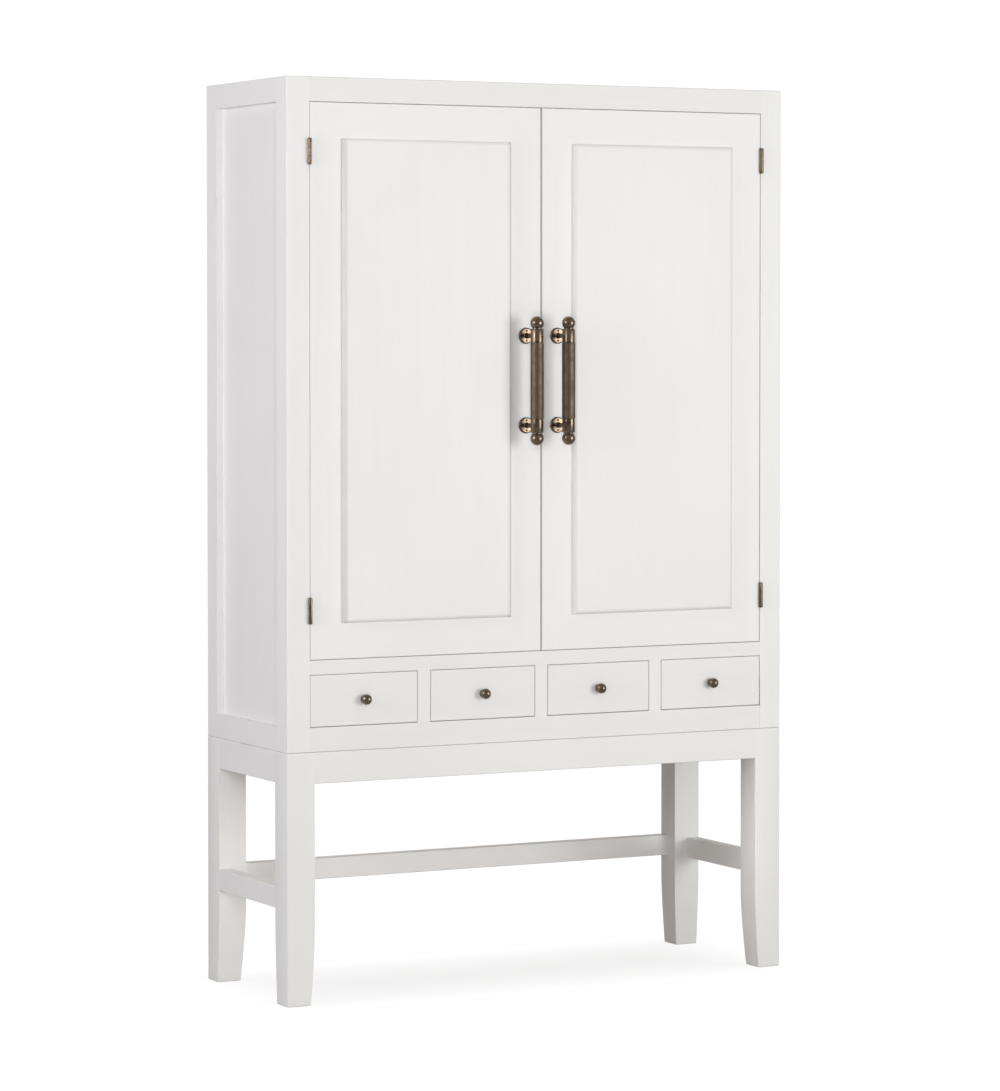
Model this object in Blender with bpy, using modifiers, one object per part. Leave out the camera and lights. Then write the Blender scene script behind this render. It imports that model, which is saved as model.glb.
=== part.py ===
"""Painted two-door cabinet on a stand, with four small drawers under the doors.

Metres, +Z up. The front faces -Y and the origin is on the floor, under the middle of the whole object,
handles included. Every wooden piece is one timber with its own tenons, grooves and housings.
"""

import math

import bmesh
import bpy
from mathutils import Matrix, Vector

# Outer sizes of the case and of the stand under it
CASE_WIDTH = 1.200
CASE_DEPTH = 0.420
CASE_HEIGHT = 1.412
STAND_HEIGHT = 0.532

# Clearances
SEAT_GAP = 0.0003
DOOR_GAP = 0.0012
DOOR_END_GAP = 0.0008
MEETING_GAP = 0.0035
DRAWER_GAP = 0.001
DRAWER_TOP_GAP = 0.0006
DRAWER_STOP_GAP = 0.001

# Case frame
POST_WIDTH = 0.052
POST_DEPTH = 0.052
RAIL_THICKNESS = 0.034
TOP_RAIL_HEIGHT = 0.052
BOTTOM_RAIL_HEIGHT = 0.052
MIDDLE_RAIL_HEIGHT = 0.031
DRAWER_OPENING_HEIGHT = 0.110
EDGE_ROUNDING = 0.0018
ROUNDING_SEGMENTS = 2

# Joints between the timbers
TENON_LENGTH = 0.020
TENON_THICKNESS = 0.010
TENON_SETBACK = 0.006
TENON_RELIEF = 0.003
MIDDLE_TENON_SHOULDER = 0.007
BOARD_HOUSING = 0.010
BOARD_LIP = 0.010

# Panels and boards
PANEL_TONGUE = 0.008
SIDE_PANEL_RECESS = 0.015
SIDE_PANEL_THICKNESS = 0.010
BACK_PANEL_INSET = 0.010
BACK_PANEL_THICKNESS = 0.008
TOP_PANEL_THICKNESS = 0.012
FLOOR_THICKNESS = 0.012
DECK_THICKNESS = 0.015
SHELF_THICKNESS = 0.018
LOWER_SHELF_RISE = 0.370
UPPER_SHELF_RISE = 0.760

# Stand
LEG_SIZE = 0.063
LEG_TAPER = 0.0095
LEG_TAPER_START = 0.165
LEG_TAPER_STEPS = 6
LEG_TAPER_CURVE = 1.5
APRON_HEIGHT = 0.066
APRON_THICKNESS = 0.024
STRETCHER_HEIGHT = 0.046
STRETCHER_THICKNESS = 0.030
SIDE_STRETCHER_BOTTOM = 0.2015
REAR_STRETCHER_BOTTOM = 0.206

# Doors
DOOR_THICKNESS = 0.022
DOOR_STILE_WIDTH = 0.073
DOOR_RAIL_HEIGHT = 0.075
DOOR_TONGUE_THICKNESS = 0.008
DOOR_TONGUE_COVER = 0.005
FIELD_PROUD = 0.010
FIELD_ROLL_WIDTH = 0.012
FIELD_ROLL_SEGMENTS = 4

# Hinges
HINGE_HEIGHT = 0.056
HINGE_FROM_DOOR_END = 0.103
HINGE_LEAF_COVER = 0.004
HINGE_LEAF_THICKNESS = 0.0016
KNUCKLE_RADIUS = 0.004
KNUCKLE_CLEARANCE = 0.0005
HINGE_PIN_RADIUS = 0.0018
HINGE_PIN_PLAY = 0.0003

# Door handles
HANDLE_CENTRE_RISE = 0.5814
HANDLE_STANDOFF = 0.052
HANDLE_GRIP_LENGTH = 0.162
HANDLE_GRIP_RADIUS = 0.0142
HANDLE_COLLAR_LENGTH = 0.030
HANDLE_COLLAR_RADIUS = 0.0136
HANDLE_NECK_RADIUS = 0.010
HANDLE_NECK_LENGTH = 0.002
HANDLE_BALL_RADIUS = 0.0144
HANDLE_POST_RADIUS = 0.005
ROSE_RADIUS = 0.0175
ROSE_THICKNESS = 0.0045
ROSE_EDGE = 0.0015
ROSE_SHOULDER = 0.005

# Drawers
DIVIDER_WIDTH = 0.030
DIVIDER_DEPTH = 0.034
DIVIDER_TENON = 0.010
DRAWER_COUNT = 4
DRAWER_FRONT_THICKNESS = 0.020
DRAWER_HEADROOM = 0.025
DRAWER_WALL = 0.010
DRAWER_BOTTOM = 0.006
DRAWER_GUIDE_ROOT = 0.008
DRAWER_GUIDE_HEIGHT = 0.020

# Drawer knobs
KNOB_BALL_RADIUS = 0.0112
KNOB_STEM_RADIUS = 0.0065
KNOB_STEM_LENGTH = 0.001
KNOB_BASE_RADIUS = 0.009
KNOB_BASE_THICKNESS = 0.002

# Facets of round pieces, and how far cutters reach past what they cut
TURNED_STEPS = 16
ARC_POINTS = 6
ROSE_ARC_POINTS = 3
OVERSHOOT = 0.002
MERGE_DISTANCE = 0.00001

# Places worked out from the sizes
TOTAL_HEIGHT = STAND_HEIGHT + CASE_HEIGHT
HANDLE_POST_SPACING = HANDLE_GRIP_LENGTH + HANDLE_COLLAR_LENGTH
HANDLE_REACH = HANDLE_STANDOFF + max(HANDLE_BALL_RADIUS, HANDLE_GRIP_RADIUS)
FRONT = (HANDLE_REACH - CASE_DEPTH) / 2
BACK = FRONT + CASE_DEPTH
HALF_WIDTH = CASE_WIDTH / 2
POST_INNER = HALF_WIDTH - POST_WIDTH
POST_FRONT_BACK = FRONT + POST_DEPTH
POST_BACK_FRONT = BACK - POST_DEPTH
CASE_BOTTOM = STAND_HEIGHT + SEAT_GAP
FLOOR_TOP = STAND_HEIGHT + BOTTOM_RAIL_HEIGHT
MIDDLE_RAIL_BOTTOM = FLOOR_TOP + DRAWER_OPENING_HEIGHT
DECK_TOP = MIDDLE_RAIL_BOTTOM + MIDDLE_RAIL_HEIGHT
TOP_RAIL_BOTTOM = TOTAL_HEIGHT - TOP_RAIL_HEIGHT
BACK_PANEL_FRONT = BACK - BACK_PANEL_INSET - BACK_PANEL_THICKNESS
SIDE_PANEL_INNER = HALF_WIDTH - SIDE_PANEL_RECESS - SIDE_PANEL_THICKNESS
TENON_SHOULDER = PANEL_TONGUE + TENON_RELIEF
RAIL_BACK = FRONT + RAIL_THICKNESS
DOOR_BOTTOM = DECK_TOP + DOOR_END_GAP
DOOR_TOP = TOP_RAIL_BOTTOM - DOOR_END_GAP
DOOR_BACK = FRONT + DOOR_THICKNESS
HINGE_LEAF_BACK = DOOR_BACK - HINGE_LEAF_COVER
HINGE_OFFSET = POST_INNER - DOOR_GAP / 2
HINGE_Y = FRONT - KNUCKLE_RADIUS - KNUCKLE_CLEARANCE
DRAWER_OPENING_WIDTH = (2 * POST_INNER - (DRAWER_COUNT - 1) * DIVIDER_WIDTH) / DRAWER_COUNT

SIDES = ("left", "right")
FACES = {"left": "-X", "right": "+X", "front": "-Y", "back": "+Y", "bottom": "-Z", "top": "+Z"}


for leftover in list(bpy.data.objects):
    bpy.data.objects.remove(leftover, do_unlink=True)

cabinet = bpy.data.collections.new("china_cabinet")
cutters = bpy.data.collections.new("cutters")
for collection in (cabinet, cutters):
    bpy.context.scene.collection.children.link(collection)


def finish(name, colour, roughness, metallic):
    """A plain Principled material."""
    material = bpy.data.materials.new(name)
    material.use_nodes = True
    shader = material.node_tree.nodes["Principled BSDF"]
    shader.inputs["Base Color"].default_value = (*colour, 1.0)
    shader.inputs["Roughness"].default_value = roughness
    shader.inputs["Metallic"].default_value = metallic
    return material


PAINT = finish("off_white_paint", (0.79, 0.77, 0.72), 0.55, 0.0)
BARE_WOOD = finish("bare_wood", (0.47, 0.31, 0.18), 0.60, 0.0)
BRASS = finish("aged_brass", (0.33, 0.23, 0.13), 0.38, 1.0)


def add_object(name, mesh, location, material):
    """Put a mesh in the cabinet's collection as one named piece."""
    piece = bpy.data.objects.new(name, mesh)
    piece.location = location
    mesh.materials.append(material)
    cabinet.objects.link(piece)
    return piece


def box_shape(low, high):
    """A box around the origin as a bmesh, with its size and the centre where it belongs."""
    size = Vector(high) - Vector(low)
    shape = bmesh.new()
    bmesh.ops.create_cube(shape, size=1.0, matrix=Matrix.Diagonal((*size, 1.0)))
    return shape, size, (Vector(low) + Vector(high)) / 2


def to_mesh(name, shape):
    """Close a bmesh into a mesh."""
    mesh = bpy.data.meshes.new(name)
    shape.to_mesh(mesh)
    shape.free()
    return mesh


def face_plane(face):
    """The number of the axis that a named face looks along, and 1 or -1 for its way along it."""
    way, axis = FACES[face]
    return "XYZ".index(axis), 1 if way == "+" else -1


def edges_between(shape, size, pairs):
    """The box edges that lie on both faces of each named pair, such as 'front top'."""
    chosen = set()
    for pair in pairs:
        planes = [face_plane(face) for face in pair.split()]
        for edge in shape.edges:
            on_both = all(
                abs(corner.co[axis] - sign * size[axis] / 2) < 1e-6
                for corner in edge.verts
                for axis, sign in planes
            )
            if on_both:
                chosen.add(edge)
    return list(chosen)


def timber(name, low, high, material, rounded=()):
    """A straight timber or board from its two corners, with the named edges rounded."""
    shape, size, centre = box_shape(low, high)
    edges = edges_between(shape, size, rounded)
    if edges:
        bmesh.ops.bevel(
            shape, geom=edges, offset=EDGE_ROUNDING, segments=ROUNDING_SEGMENTS, profile=0.5, affect="EDGES"
        )
    return add_object(name, to_mesh(name, shape), centre, material)


def helper_box(host, low, high):
    """A hidden box that belongs to a piece and moves with it."""
    name = f"{host.name}.cut"
    shape, size, centre = box_shape(low, high)
    return hide_helper(host, new_helper(name, shape), centre)


def helper_rod(host, centre, radius, length):
    """A hidden upright cylinder that belongs to a piece and moves with it."""
    name = f"{host.name}.rod"
    shape = bmesh.new()
    bmesh.ops.create_cone(
        shape, cap_ends=True, segments=TURNED_STEPS, radius1=radius, radius2=radius, depth=length
    )
    return hide_helper(host, new_helper(name, shape), centre)


def new_helper(name, shape):
    """A helper object made from a bmesh, in the cutters' collection."""
    helper = bpy.data.objects.new(name, to_mesh(name, shape))
    cutters.objects.link(helper)
    return helper


def hide_helper(host, helper, centre):
    """Parent a helper to its piece and keep it out of the picture."""
    helper.parent = host
    helper.location = Vector(centre) - host.location
    helper.hide_render = True
    helper.display_type = "WIRE"
    return helper


def combine(host, helper, operation):
    """Cut a helper out of a piece, or join it on."""
    boolean = host.modifiers.new(operation.lower(), "BOOLEAN")
    boolean.operation = operation
    boolean.solver = "EXACT"
    boolean.object = helper


def carve(host, low, high):
    """Cut a box out of a piece."""
    combine(host, helper_box(host, low, high), "DIFFERENCE")


def join(host, low, high):
    """Join a box onto a piece."""
    combine(host, helper_box(host, low, high), "UNION")


def let_in(host, low, high):
    """Cut the room that a tenon, panel or board needs into the timber that holds it."""
    margin = Vector((SEAT_GAP, SEAT_GAP, SEAT_GAP))
    carve(host, Vector(low) - margin, Vector(high) + margin)


def mirrored(side, low, high):
    """The corners of a box given for the right side, moved to the named side."""
    if side == "right":
        return Vector(low), Vector(high)
    return Vector((-high[0], low[1], low[2])), Vector((-low[0], high[1], high[2]))


# Corner posts of the case, flush with the stand's legs below and with the top above
posts = {}
post_corners = []
POST_SPANS = {"front": (FRONT, POST_FRONT_BACK), "back": (POST_BACK_FRONT, BACK)}
for depth_name, (near, far) in POST_SPANS.items():
    for side in SIDES:
        low, high = mirrored(
            side, (POST_INNER, near, CASE_BOTTOM), (HALF_WIDTH, far, TOTAL_HEIGHT)
        )
        posts[depth_name, side] = timber(
            f"post_{depth_name}_{side}", low, high, PAINT,
            (f"{side} {depth_name}", f"{depth_name} top", f"{side} top",
             f"{depth_name} bottom", f"{side} bottom"),
        )
        post_corners.append((low, high))


def tenon_joint(rail, host, low, high):
    """Join a tenon onto a rail's end, and cut its mortise into the timber that holds it."""
    join(rail, low, high)
    let_in(host, low, high)


def cross_rail(name, near, far, bottom, top, outer, inner, ends, rounded, shoulder=TENON_SHOULDER):
    """A rail along X between two uprights, with a tenon in each, outer being its show face."""
    rail = timber(
        name, (-inner + SEAT_GAP, near, bottom), (inner - SEAT_GAP, far, top), PAINT, rounded
    )
    inward = 1 if outer == near else -1
    cheeks = sorted((
        outer + inward * TENON_SETBACK,
        outer + inward * (TENON_SETBACK + TENON_THICKNESS),
    ))
    for side in SIDES:
        low, high = mirrored(
            side,
            (inner - TENON_LENGTH, cheeks[0], bottom + shoulder),
            (inner + TENON_LENGTH, cheeks[1], top - shoulder),
        )
        tenon_joint(rail, ends[side], low, high)
    return rail


def side_rail(name, side, near, far, bottom, top, thickness, ends, rounded):
    """A rail along Y between a front and a back upright, with a tenon in each."""
    low, high = mirrored(
        side,
        (HALF_WIDTH - thickness, near + SEAT_GAP, bottom),
        (HALF_WIDTH, far - SEAT_GAP, top),
    )
    rail = timber(name, low, high, PAINT, rounded)
    outer_cheek = HALF_WIDTH - TENON_SETBACK
    for end, host in zip((near, far), ends):
        tenon_low, tenon_high = mirrored(
            side,
            (outer_cheek - TENON_THICKNESS, end - TENON_LENGTH, bottom + TENON_SHOULDER),
            (outer_cheek, end + TENON_LENGTH, top - TENON_SHOULDER),
        )
        tenon_joint(rail, host, tenon_low, tenon_high)
    return rail


# Rails of the case
front_posts = {side: posts["front", side] for side in SIDES}
back_posts = {side: posts["back", side] for side in SIDES}
top_rail_front = cross_rail(
    "top_rail_front", FRONT, RAIL_BACK, TOP_RAIL_BOTTOM, TOTAL_HEIGHT, FRONT, POST_INNER,
    front_posts, ("front top", "front bottom"),
)
top_rail_back = cross_rail(
    "top_rail_back", BACK - RAIL_THICKNESS, BACK, TOP_RAIL_BOTTOM, TOTAL_HEIGHT, BACK, POST_INNER,
    back_posts, ("back top", "back bottom"),
)
middle_rail_front = cross_rail(
    "middle_rail_front", FRONT, RAIL_BACK, MIDDLE_RAIL_BOTTOM, DECK_TOP, FRONT, POST_INNER,
    front_posts, ("front top", "front bottom"), MIDDLE_TENON_SHOULDER,
)
bottom_rail_front = cross_rail(
    "bottom_rail_front", FRONT, RAIL_BACK, CASE_BOTTOM, FLOOR_TOP, FRONT, POST_INNER,
    front_posts, ("front top", "front bottom"),
)
side_posts = {side: (posts["front", side], posts["back", side]) for side in SIDES}
floor_half_x = POST_INNER + BOARD_HOUSING
top_side_rails = {}
bottom_side_rails = {}
for side in SIDES:
    top_side_rails[side] = side_rail(
        f"top_rail_{side}", side, POST_FRONT_BACK, POST_BACK_FRONT, TOP_RAIL_BOTTOM, TOTAL_HEIGHT,
        RAIL_THICKNESS, side_posts[side], (f"{side} top", f"{side} bottom"),
    )
    bottom_side_rails[side] = side_rail(
        f"bottom_rail_{side}", side, POST_FRONT_BACK, POST_BACK_FRONT, CASE_BOTTOM, FLOOR_TOP,
        POST_WIDTH, side_posts[side], (f"{side} bottom",),
    )
    guide_low, guide_high = mirrored(
        side,
        (POST_INNER, POST_FRONT_BACK + SEAT_GAP, FLOOR_TOP - FLOOR_THICKNESS / 2),
        (floor_half_x + DRAWER_GUIDE_ROOT, POST_BACK_FRONT - SEAT_GAP, FLOOR_TOP + DRAWER_GUIDE_HEIGHT),
    )
    join(bottom_side_rails[side], guide_low, guide_high)


# Side panels, flat and set back from the outer faces, held in grooves all round
for side in SIDES:
    low, high = mirrored(
        side,
        (SIDE_PANEL_INNER, POST_FRONT_BACK - PANEL_TONGUE, FLOOR_TOP - PANEL_TONGUE),
        (SIDE_PANEL_INNER + SIDE_PANEL_THICKNESS, POST_BACK_FRONT + PANEL_TONGUE,
         TOP_RAIL_BOTTOM + PANEL_TONGUE),
    )
    timber(f"side_panel_{side}", low, high, PAINT)
    for host in (*side_posts[side], top_side_rails[side], bottom_side_rails[side]):
        let_in(host, low, high)

# Back panel, in grooves in the back posts and the top rail, standing on the stand
back_low = (-POST_INNER - PANEL_TONGUE, BACK_PANEL_FRONT, CASE_BOTTOM)
back_high = (
    POST_INNER + PANEL_TONGUE, BACK_PANEL_FRONT + BACK_PANEL_THICKNESS, TOP_RAIL_BOTTOM + PANEL_TONGUE
)
timber("back_panel", back_low, back_high, BARE_WOOD)
for host in (*back_posts.values(), top_rail_back):
    let_in(host, back_low, back_high)


# Top panel, flush with the top of the rails and resting in their rebates
top_half_x = HALF_WIDTH - RAIL_THICKNESS + BOARD_LIP
top_low = (-top_half_x, RAIL_BACK - BOARD_LIP, TOTAL_HEIGHT - TOP_PANEL_THICKNESS)
top_high = (top_half_x, BACK - RAIL_THICKNESS + BOARD_LIP, TOTAL_HEIGHT)
top_panel = timber("top_panel", top_low, top_high, PAINT)
for low, high in post_corners:
    let_in(top_panel, low, high)
for host in (top_rail_front, top_rail_back, *top_side_rails.values()):
    let_in(host, top_low, top_high)

# Floor under the drawers, which they slide on
floor_low = (-floor_half_x, RAIL_BACK - BOARD_LIP, FLOOR_TOP - FLOOR_THICKNESS)
floor_high = (floor_half_x, BACK_PANEL_FRONT - SEAT_GAP, FLOOR_TOP)
cabinet_floor = timber("cabinet_floor", floor_low, floor_high, BARE_WOOD)
for low, high in post_corners:
    let_in(cabinet_floor, low, high)
for host in (bottom_rail_front, *bottom_side_rails.values()):
    let_in(host, floor_low, floor_high)


def housed_board(name, top, thickness, near, rounded):
    """A board between the side panels whose ends are housed in all four posts."""
    reach = SIDE_PANEL_INNER - SEAT_GAP
    far = BACK_PANEL_FRONT - SEAT_GAP
    board = timber(name, (-reach, near, top - thickness), (reach, far, top), BARE_WOOD, rounded)
    housing = POST_INNER + BOARD_HOUSING
    tongue_near = max(near, RAIL_BACK) + SEAT_GAP
    below = top - thickness - OVERSHOOT
    above = top + OVERSHOOT
    for side in SIDES:
        outside = reach + OVERSHOOT
        carve(board, *mirrored(
            side, (POST_INNER - SEAT_GAP, near - OVERSHOOT, below), (outside, tongue_near, above)
        ))
        carve(board, *mirrored(
            side, (housing, tongue_near - OVERSHOOT, below), (outside, POST_FRONT_BACK + SEAT_GAP, above)
        ))
        carve(board, *mirrored(
            side, (housing, POST_BACK_FRONT - SEAT_GAP, below), (outside, far + OVERSHOOT, above)
        ))
        tongue = mirrored(
            side, (POST_INNER - BOARD_HOUSING, tongue_near, top - thickness), (housing, far, top)
        )
        for host in side_posts[side]:
            let_in(host, *tongue)


# Deck over the drawers, and two shelves whose front edges stop the doors
housed_board("drawer_deck", DECK_TOP, DECK_THICKNESS, RAIL_BACK - BOARD_LIP, ())
let_in(
    middle_rail_front,
    (-POST_INNER, RAIL_BACK - BOARD_LIP, DECK_TOP - DECK_THICKNESS),
    (POST_INNER, RAIL_BACK + OVERSHOOT, DECK_TOP),
)
SHELF_RISES = {"shelf_lower": LOWER_SHELF_RISE, "shelf_upper": UPPER_SHELF_RISE}
for name, rise in SHELF_RISES.items():
    housed_board(
        name, DECK_TOP + rise, SHELF_THICKNESS, DOOR_BACK + SEAT_GAP, ("front top", "front bottom")
    )


def opening_left(index):
    """The left side of a drawer opening, counted from the left post."""
    return -POST_INNER + index * (DRAWER_OPENING_WIDTH + DIVIDER_WIDTH)


# Drawer dividers, tenoned between the bottom and middle rails, each with a guide running back
for index in range(1, DRAWER_COUNT):
    right = opening_left(index)
    left = right - DIVIDER_WIDTH
    bottom = FLOOR_TOP + SEAT_GAP
    top = MIDDLE_RAIL_BOTTOM - SEAT_GAP
    divider = timber(
        f"drawer_divider_{index}",
        (left, FRONT, bottom), (right, BACK_PANEL_FRONT - SEAT_GAP, top), PAINT,
        ("front left", "front right"),
    )
    carve(
        divider,
        (left - OVERSHOOT, FRONT + DIVIDER_DEPTH, FLOOR_TOP + DRAWER_GUIDE_HEIGHT),
        (right + OVERSHOOT, BACK, top + OVERSHOOT),
    )
    tenon_left = (left + right - TENON_THICKNESS) / 2
    tenon_right = tenon_left + TENON_THICKNESS
    tenon_near = FRONT + TENON_SETBACK
    tenon_far = tenon_near + TENON_THICKNESS
    for host, level in ((bottom_rail_front, FLOOR_TOP), (middle_rail_front, MIDDLE_RAIL_BOTTOM)):
        tenon_joint(
            divider, host,
            (tenon_left, tenon_near, level - DIVIDER_TENON), (tenon_right, tenon_far, level + DIVIDER_TENON),
        )


def tapered_leg(name, depth_name, side):
    """A square leg whose two inner faces curve in towards the foot."""
    near, far = (FRONT, FRONT + LEG_SIZE) if depth_name == "front" else (BACK - LEG_SIZE, BACK)
    low, high = mirrored(side, (HALF_WIDTH - LEG_SIZE, near, 0.0), (HALF_WIDTH, far, STAND_HEIGHT))
    shape, size, centre = box_shape(low, high)
    edges = edges_between(shape, size, (f"{side} {depth_name}", f"{depth_name} top", f"{side} top"))
    bmesh.ops.bevel(
        shape, geom=edges, offset=EDGE_ROUNDING, segments=ROUNDING_SEGMENTS, profile=0.5, affect="EDGES"
    )
    for step in range(LEG_TAPER_STEPS):
        level = LEG_TAPER_START * (1 - step / LEG_TAPER_STEPS)
        bmesh.ops.bisect_plane(
            shape, geom=[*shape.verts, *shape.edges, *shape.faces],
            plane_co=(0, 0, level - centre.z), plane_no=(0, 0, 1),
        )
    for corner in shape.verts:
        share = max(0.0, 1 - (corner.co.z + centre.z) / LEG_TAPER_START)
        for axis, outward in (face_plane(side), face_plane(depth_name)):
            if corner.co[axis] * outward < -size[axis] / 4:
                corner.co[axis] += outward * LEG_TAPER * share ** LEG_TAPER_CURVE
    return add_object(name, to_mesh(name, shape), centre, PAINT)


# Stand: four legs, an apron on every side and stretchers at the sides and the rear
legs = {
    (depth_name, side): tapered_leg(f"leg_{depth_name}_{side}", depth_name, side)
    for depth_name in POST_SPANS
    for side in SIDES
}
leg_inner = HALF_WIDTH - LEG_SIZE
apron_bottom = STAND_HEIGHT - APRON_HEIGHT
front_legs = {side: legs["front", side] for side in SIDES}
back_legs = {side: legs["back", side] for side in SIDES}
cross_rail(
    "apron_front", FRONT, FRONT + APRON_THICKNESS, apron_bottom, STAND_HEIGHT, FRONT, leg_inner,
    front_legs, ("front top", "front bottom"),
)
cross_rail(
    "apron_back", BACK - APRON_THICKNESS, BACK, apron_bottom, STAND_HEIGHT, BACK, leg_inner,
    back_legs, ("back top", "back bottom"),
)
cross_rail(
    "stretcher_rear", BACK - STRETCHER_THICKNESS, BACK, REAR_STRETCHER_BOTTOM,
    REAR_STRETCHER_BOTTOM + STRETCHER_HEIGHT, BACK, leg_inner,
    back_legs, ("front top", "front bottom", "back top", "back bottom"),
)
for side in SIDES:
    side_legs = (legs["front", side], legs["back", side])
    side_rail(
        f"apron_{side}", side, FRONT + LEG_SIZE, BACK - LEG_SIZE, apron_bottom, STAND_HEIGHT,
        APRON_THICKNESS, side_legs, (f"{side} top", f"{side} bottom"),
    )
    side_rail(
        f"stretcher_{side}", side, FRONT + LEG_SIZE, BACK - LEG_SIZE, SIDE_STRETCHER_BOTTOM,
        SIDE_STRETCHER_BOTTOM + STRETCHER_HEIGHT, STRETCHER_THICKNESS, side_legs,
        ("left top", "left bottom", "right top", "right bottom"),
    )


def joint_axis(name, point):
    """An empty on a moving part's axis, which its pieces hang on."""
    axis = bpy.data.objects.new(name, None)
    axis.location = point
    cabinet.objects.link(axis)
    return axis


def hang(axis, pieces):
    """Parent pieces to their axis without moving them."""
    for piece in pieces:
        piece.parent = axis
        piece.matrix_parent_inverse = Matrix.Translation(-axis.location)


def raised_field(name, low, high):
    """A panel's raised field, its front edges rolled over on a quarter ellipse."""
    squash = FIELD_PROUD / FIELD_ROLL_WIDTH
    depth = high[1] - low[1]
    stretched_high = (high[0], low[1] + depth / squash, high[2])
    shape, size, centre = box_shape(low, stretched_high)
    edges = edges_between(shape, size, ("front top", "front bottom", "front left", "front right"))
    bmesh.ops.bevel(
        shape, geom=edges, offset=FIELD_ROLL_WIDTH, segments=FIELD_ROLL_SEGMENTS, profile=0.5, affect="EDGES"
    )
    bmesh.ops.scale(shape, vec=(1, squash, 1), verts=shape.verts)
    return add_object(name, to_mesh(name, shape), (Vector(low) + Vector(high)) / 2, PAINT)


def turned(name, profile, location, collection, material):
    """A turned piece around Z: its profile runs from the top of its axis down to the bottom."""
    mesh = bpy.data.meshes.new(name)
    mesh.from_pydata(
        [(radius, 0.0, height) for radius, height in profile],
        [(index, index + 1) for index in range(len(profile) - 1)],
        [],
    )
    piece = bpy.data.objects.new(name, mesh)
    piece.location = location
    collection.objects.link(piece)
    screw = piece.modifiers.new("turn", "SCREW")
    screw.axis = "Z"
    screw.steps = TURNED_STEPS
    screw.render_steps = TURNED_STEPS
    screw.use_merge_vertices = True
    screw.merge_threshold = MERGE_DISTANCE
    screw.use_smooth_shade = True
    mesh.materials.append(material)
    return piece


def ball_arc(radius, centre, first, last):
    """Points of a ball's side between two angles from its top, in degrees."""
    angles = [math.radians(first + (last - first) * step / ARC_POINTS) for step in range(ARC_POINTS + 1)]
    return [(radius * math.sin(angle), centre + radius * math.cos(angle)) for angle in angles]


def neck_angle(ball_radius, neck_radius):
    """The angle from a ball's far pole, in degrees, where it meets its neck."""
    return math.degrees(math.asin(neck_radius / ball_radius))


def handle_profile():
    """The bar's outline from its top: ball, neck, collar and half the grip, then the same upside down."""
    grip_end = HANDLE_GRIP_LENGTH / 2
    collar_end = grip_end + HANDLE_COLLAR_LENGTH
    ball_neck = neck_angle(HANDLE_BALL_RADIUS, HANDLE_NECK_RADIUS)
    ball_drop = HANDLE_BALL_RADIUS * math.cos(math.radians(ball_neck))
    ball_centre = collar_end + HANDLE_NECK_LENGTH + ball_drop
    step = HANDLE_GRIP_RADIUS - HANDLE_COLLAR_RADIUS
    upper = ball_arc(HANDLE_BALL_RADIUS, ball_centre, 0.0, 180.0 - ball_neck)
    upper += [
        (HANDLE_NECK_RADIUS, collar_end + step),
        (HANDLE_COLLAR_RADIUS, collar_end),
        (HANDLE_COLLAR_RADIUS, grip_end + step),
        (HANDLE_GRIP_RADIUS, grip_end),
    ]
    upper[0] = (0.0, ball_centre + HANDLE_BALL_RADIUS)
    return upper + [(radius, -height) for radius, height in reversed(upper)]


def rose_profile():
    """A rose and its post, from the post's end inside the bar down to the rose's seat on the door."""
    quarter = [math.radians(90 * step / ROSE_ARC_POINTS) for step in range(ROSE_ARC_POINTS + 1)]
    shoulder = [
        (ROSE_RADIUS - ROSE_SHOULDER * (1 - math.sin(angle)),
         ROSE_EDGE + (ROSE_THICKNESS - ROSE_EDGE) * math.cos(angle))
        for angle in quarter
    ]
    return [
        (0.0, HANDLE_STANDOFF),
        (HANDLE_POST_RADIUS, HANDLE_STANDOFF),
        (HANDLE_POST_RADIUS, ROSE_THICKNESS),
        *shoulder,
        (ROSE_RADIUS, SEAT_GAP),
        (0.0, SEAT_GAP),
    ]


TO_FRONT = Matrix.Rotation(math.radians(90), 4, "X")


def door_handle(name, x, height):
    """A turned brass bar on two posts, each on a round rose."""
    bar = turned(name, handle_profile(), (x, FRONT - HANDLE_STANDOFF, height), cabinet, BRASS)
    for end in (-1, 1):
        rose = turned(f"{name}.rose", rose_profile(), (0, 0, 0), cutters, BRASS)
        hide_helper(bar, rose, (x, FRONT, height + end * HANDLE_POST_SPACING / 2))
        rose.rotation_euler = TO_FRONT.to_euler()
        combine(bar, rose, "UNION")
    return bar


def hinge_x(side):
    """Where a door's hinge axis stands across the cabinet."""
    return face_plane(side)[1] * HINGE_OFFSET


def hinge_leaf(name, side, level, plate_x, knuckles):
    """A leaf let into one timber: its plate and the knuckles at the given spans, up from the hinge's foot."""
    plate_low, plate_high = plate_x
    leaf = timber(
        name,
        *mirrored(
            side,
            (plate_low, FRONT + SEAT_GAP, level),
            (plate_high, HINGE_LEAF_BACK, level + HINGE_HEIGHT),
        ),
        BRASS,
    )
    for foot, head in knuckles:
        join(leaf, *mirrored(
            side,
            (plate_low, HINGE_Y, level + foot),
            (plate_high, (FRONT + HINGE_LEAF_BACK) / 2, level + head),
        ))
        centre = (hinge_x(side), HINGE_Y, level + (foot + head) / 2)
        combine(leaf, helper_rod(leaf, centre, KNUCKLE_RADIUS, head - foot), "UNION")
    return leaf


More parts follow.
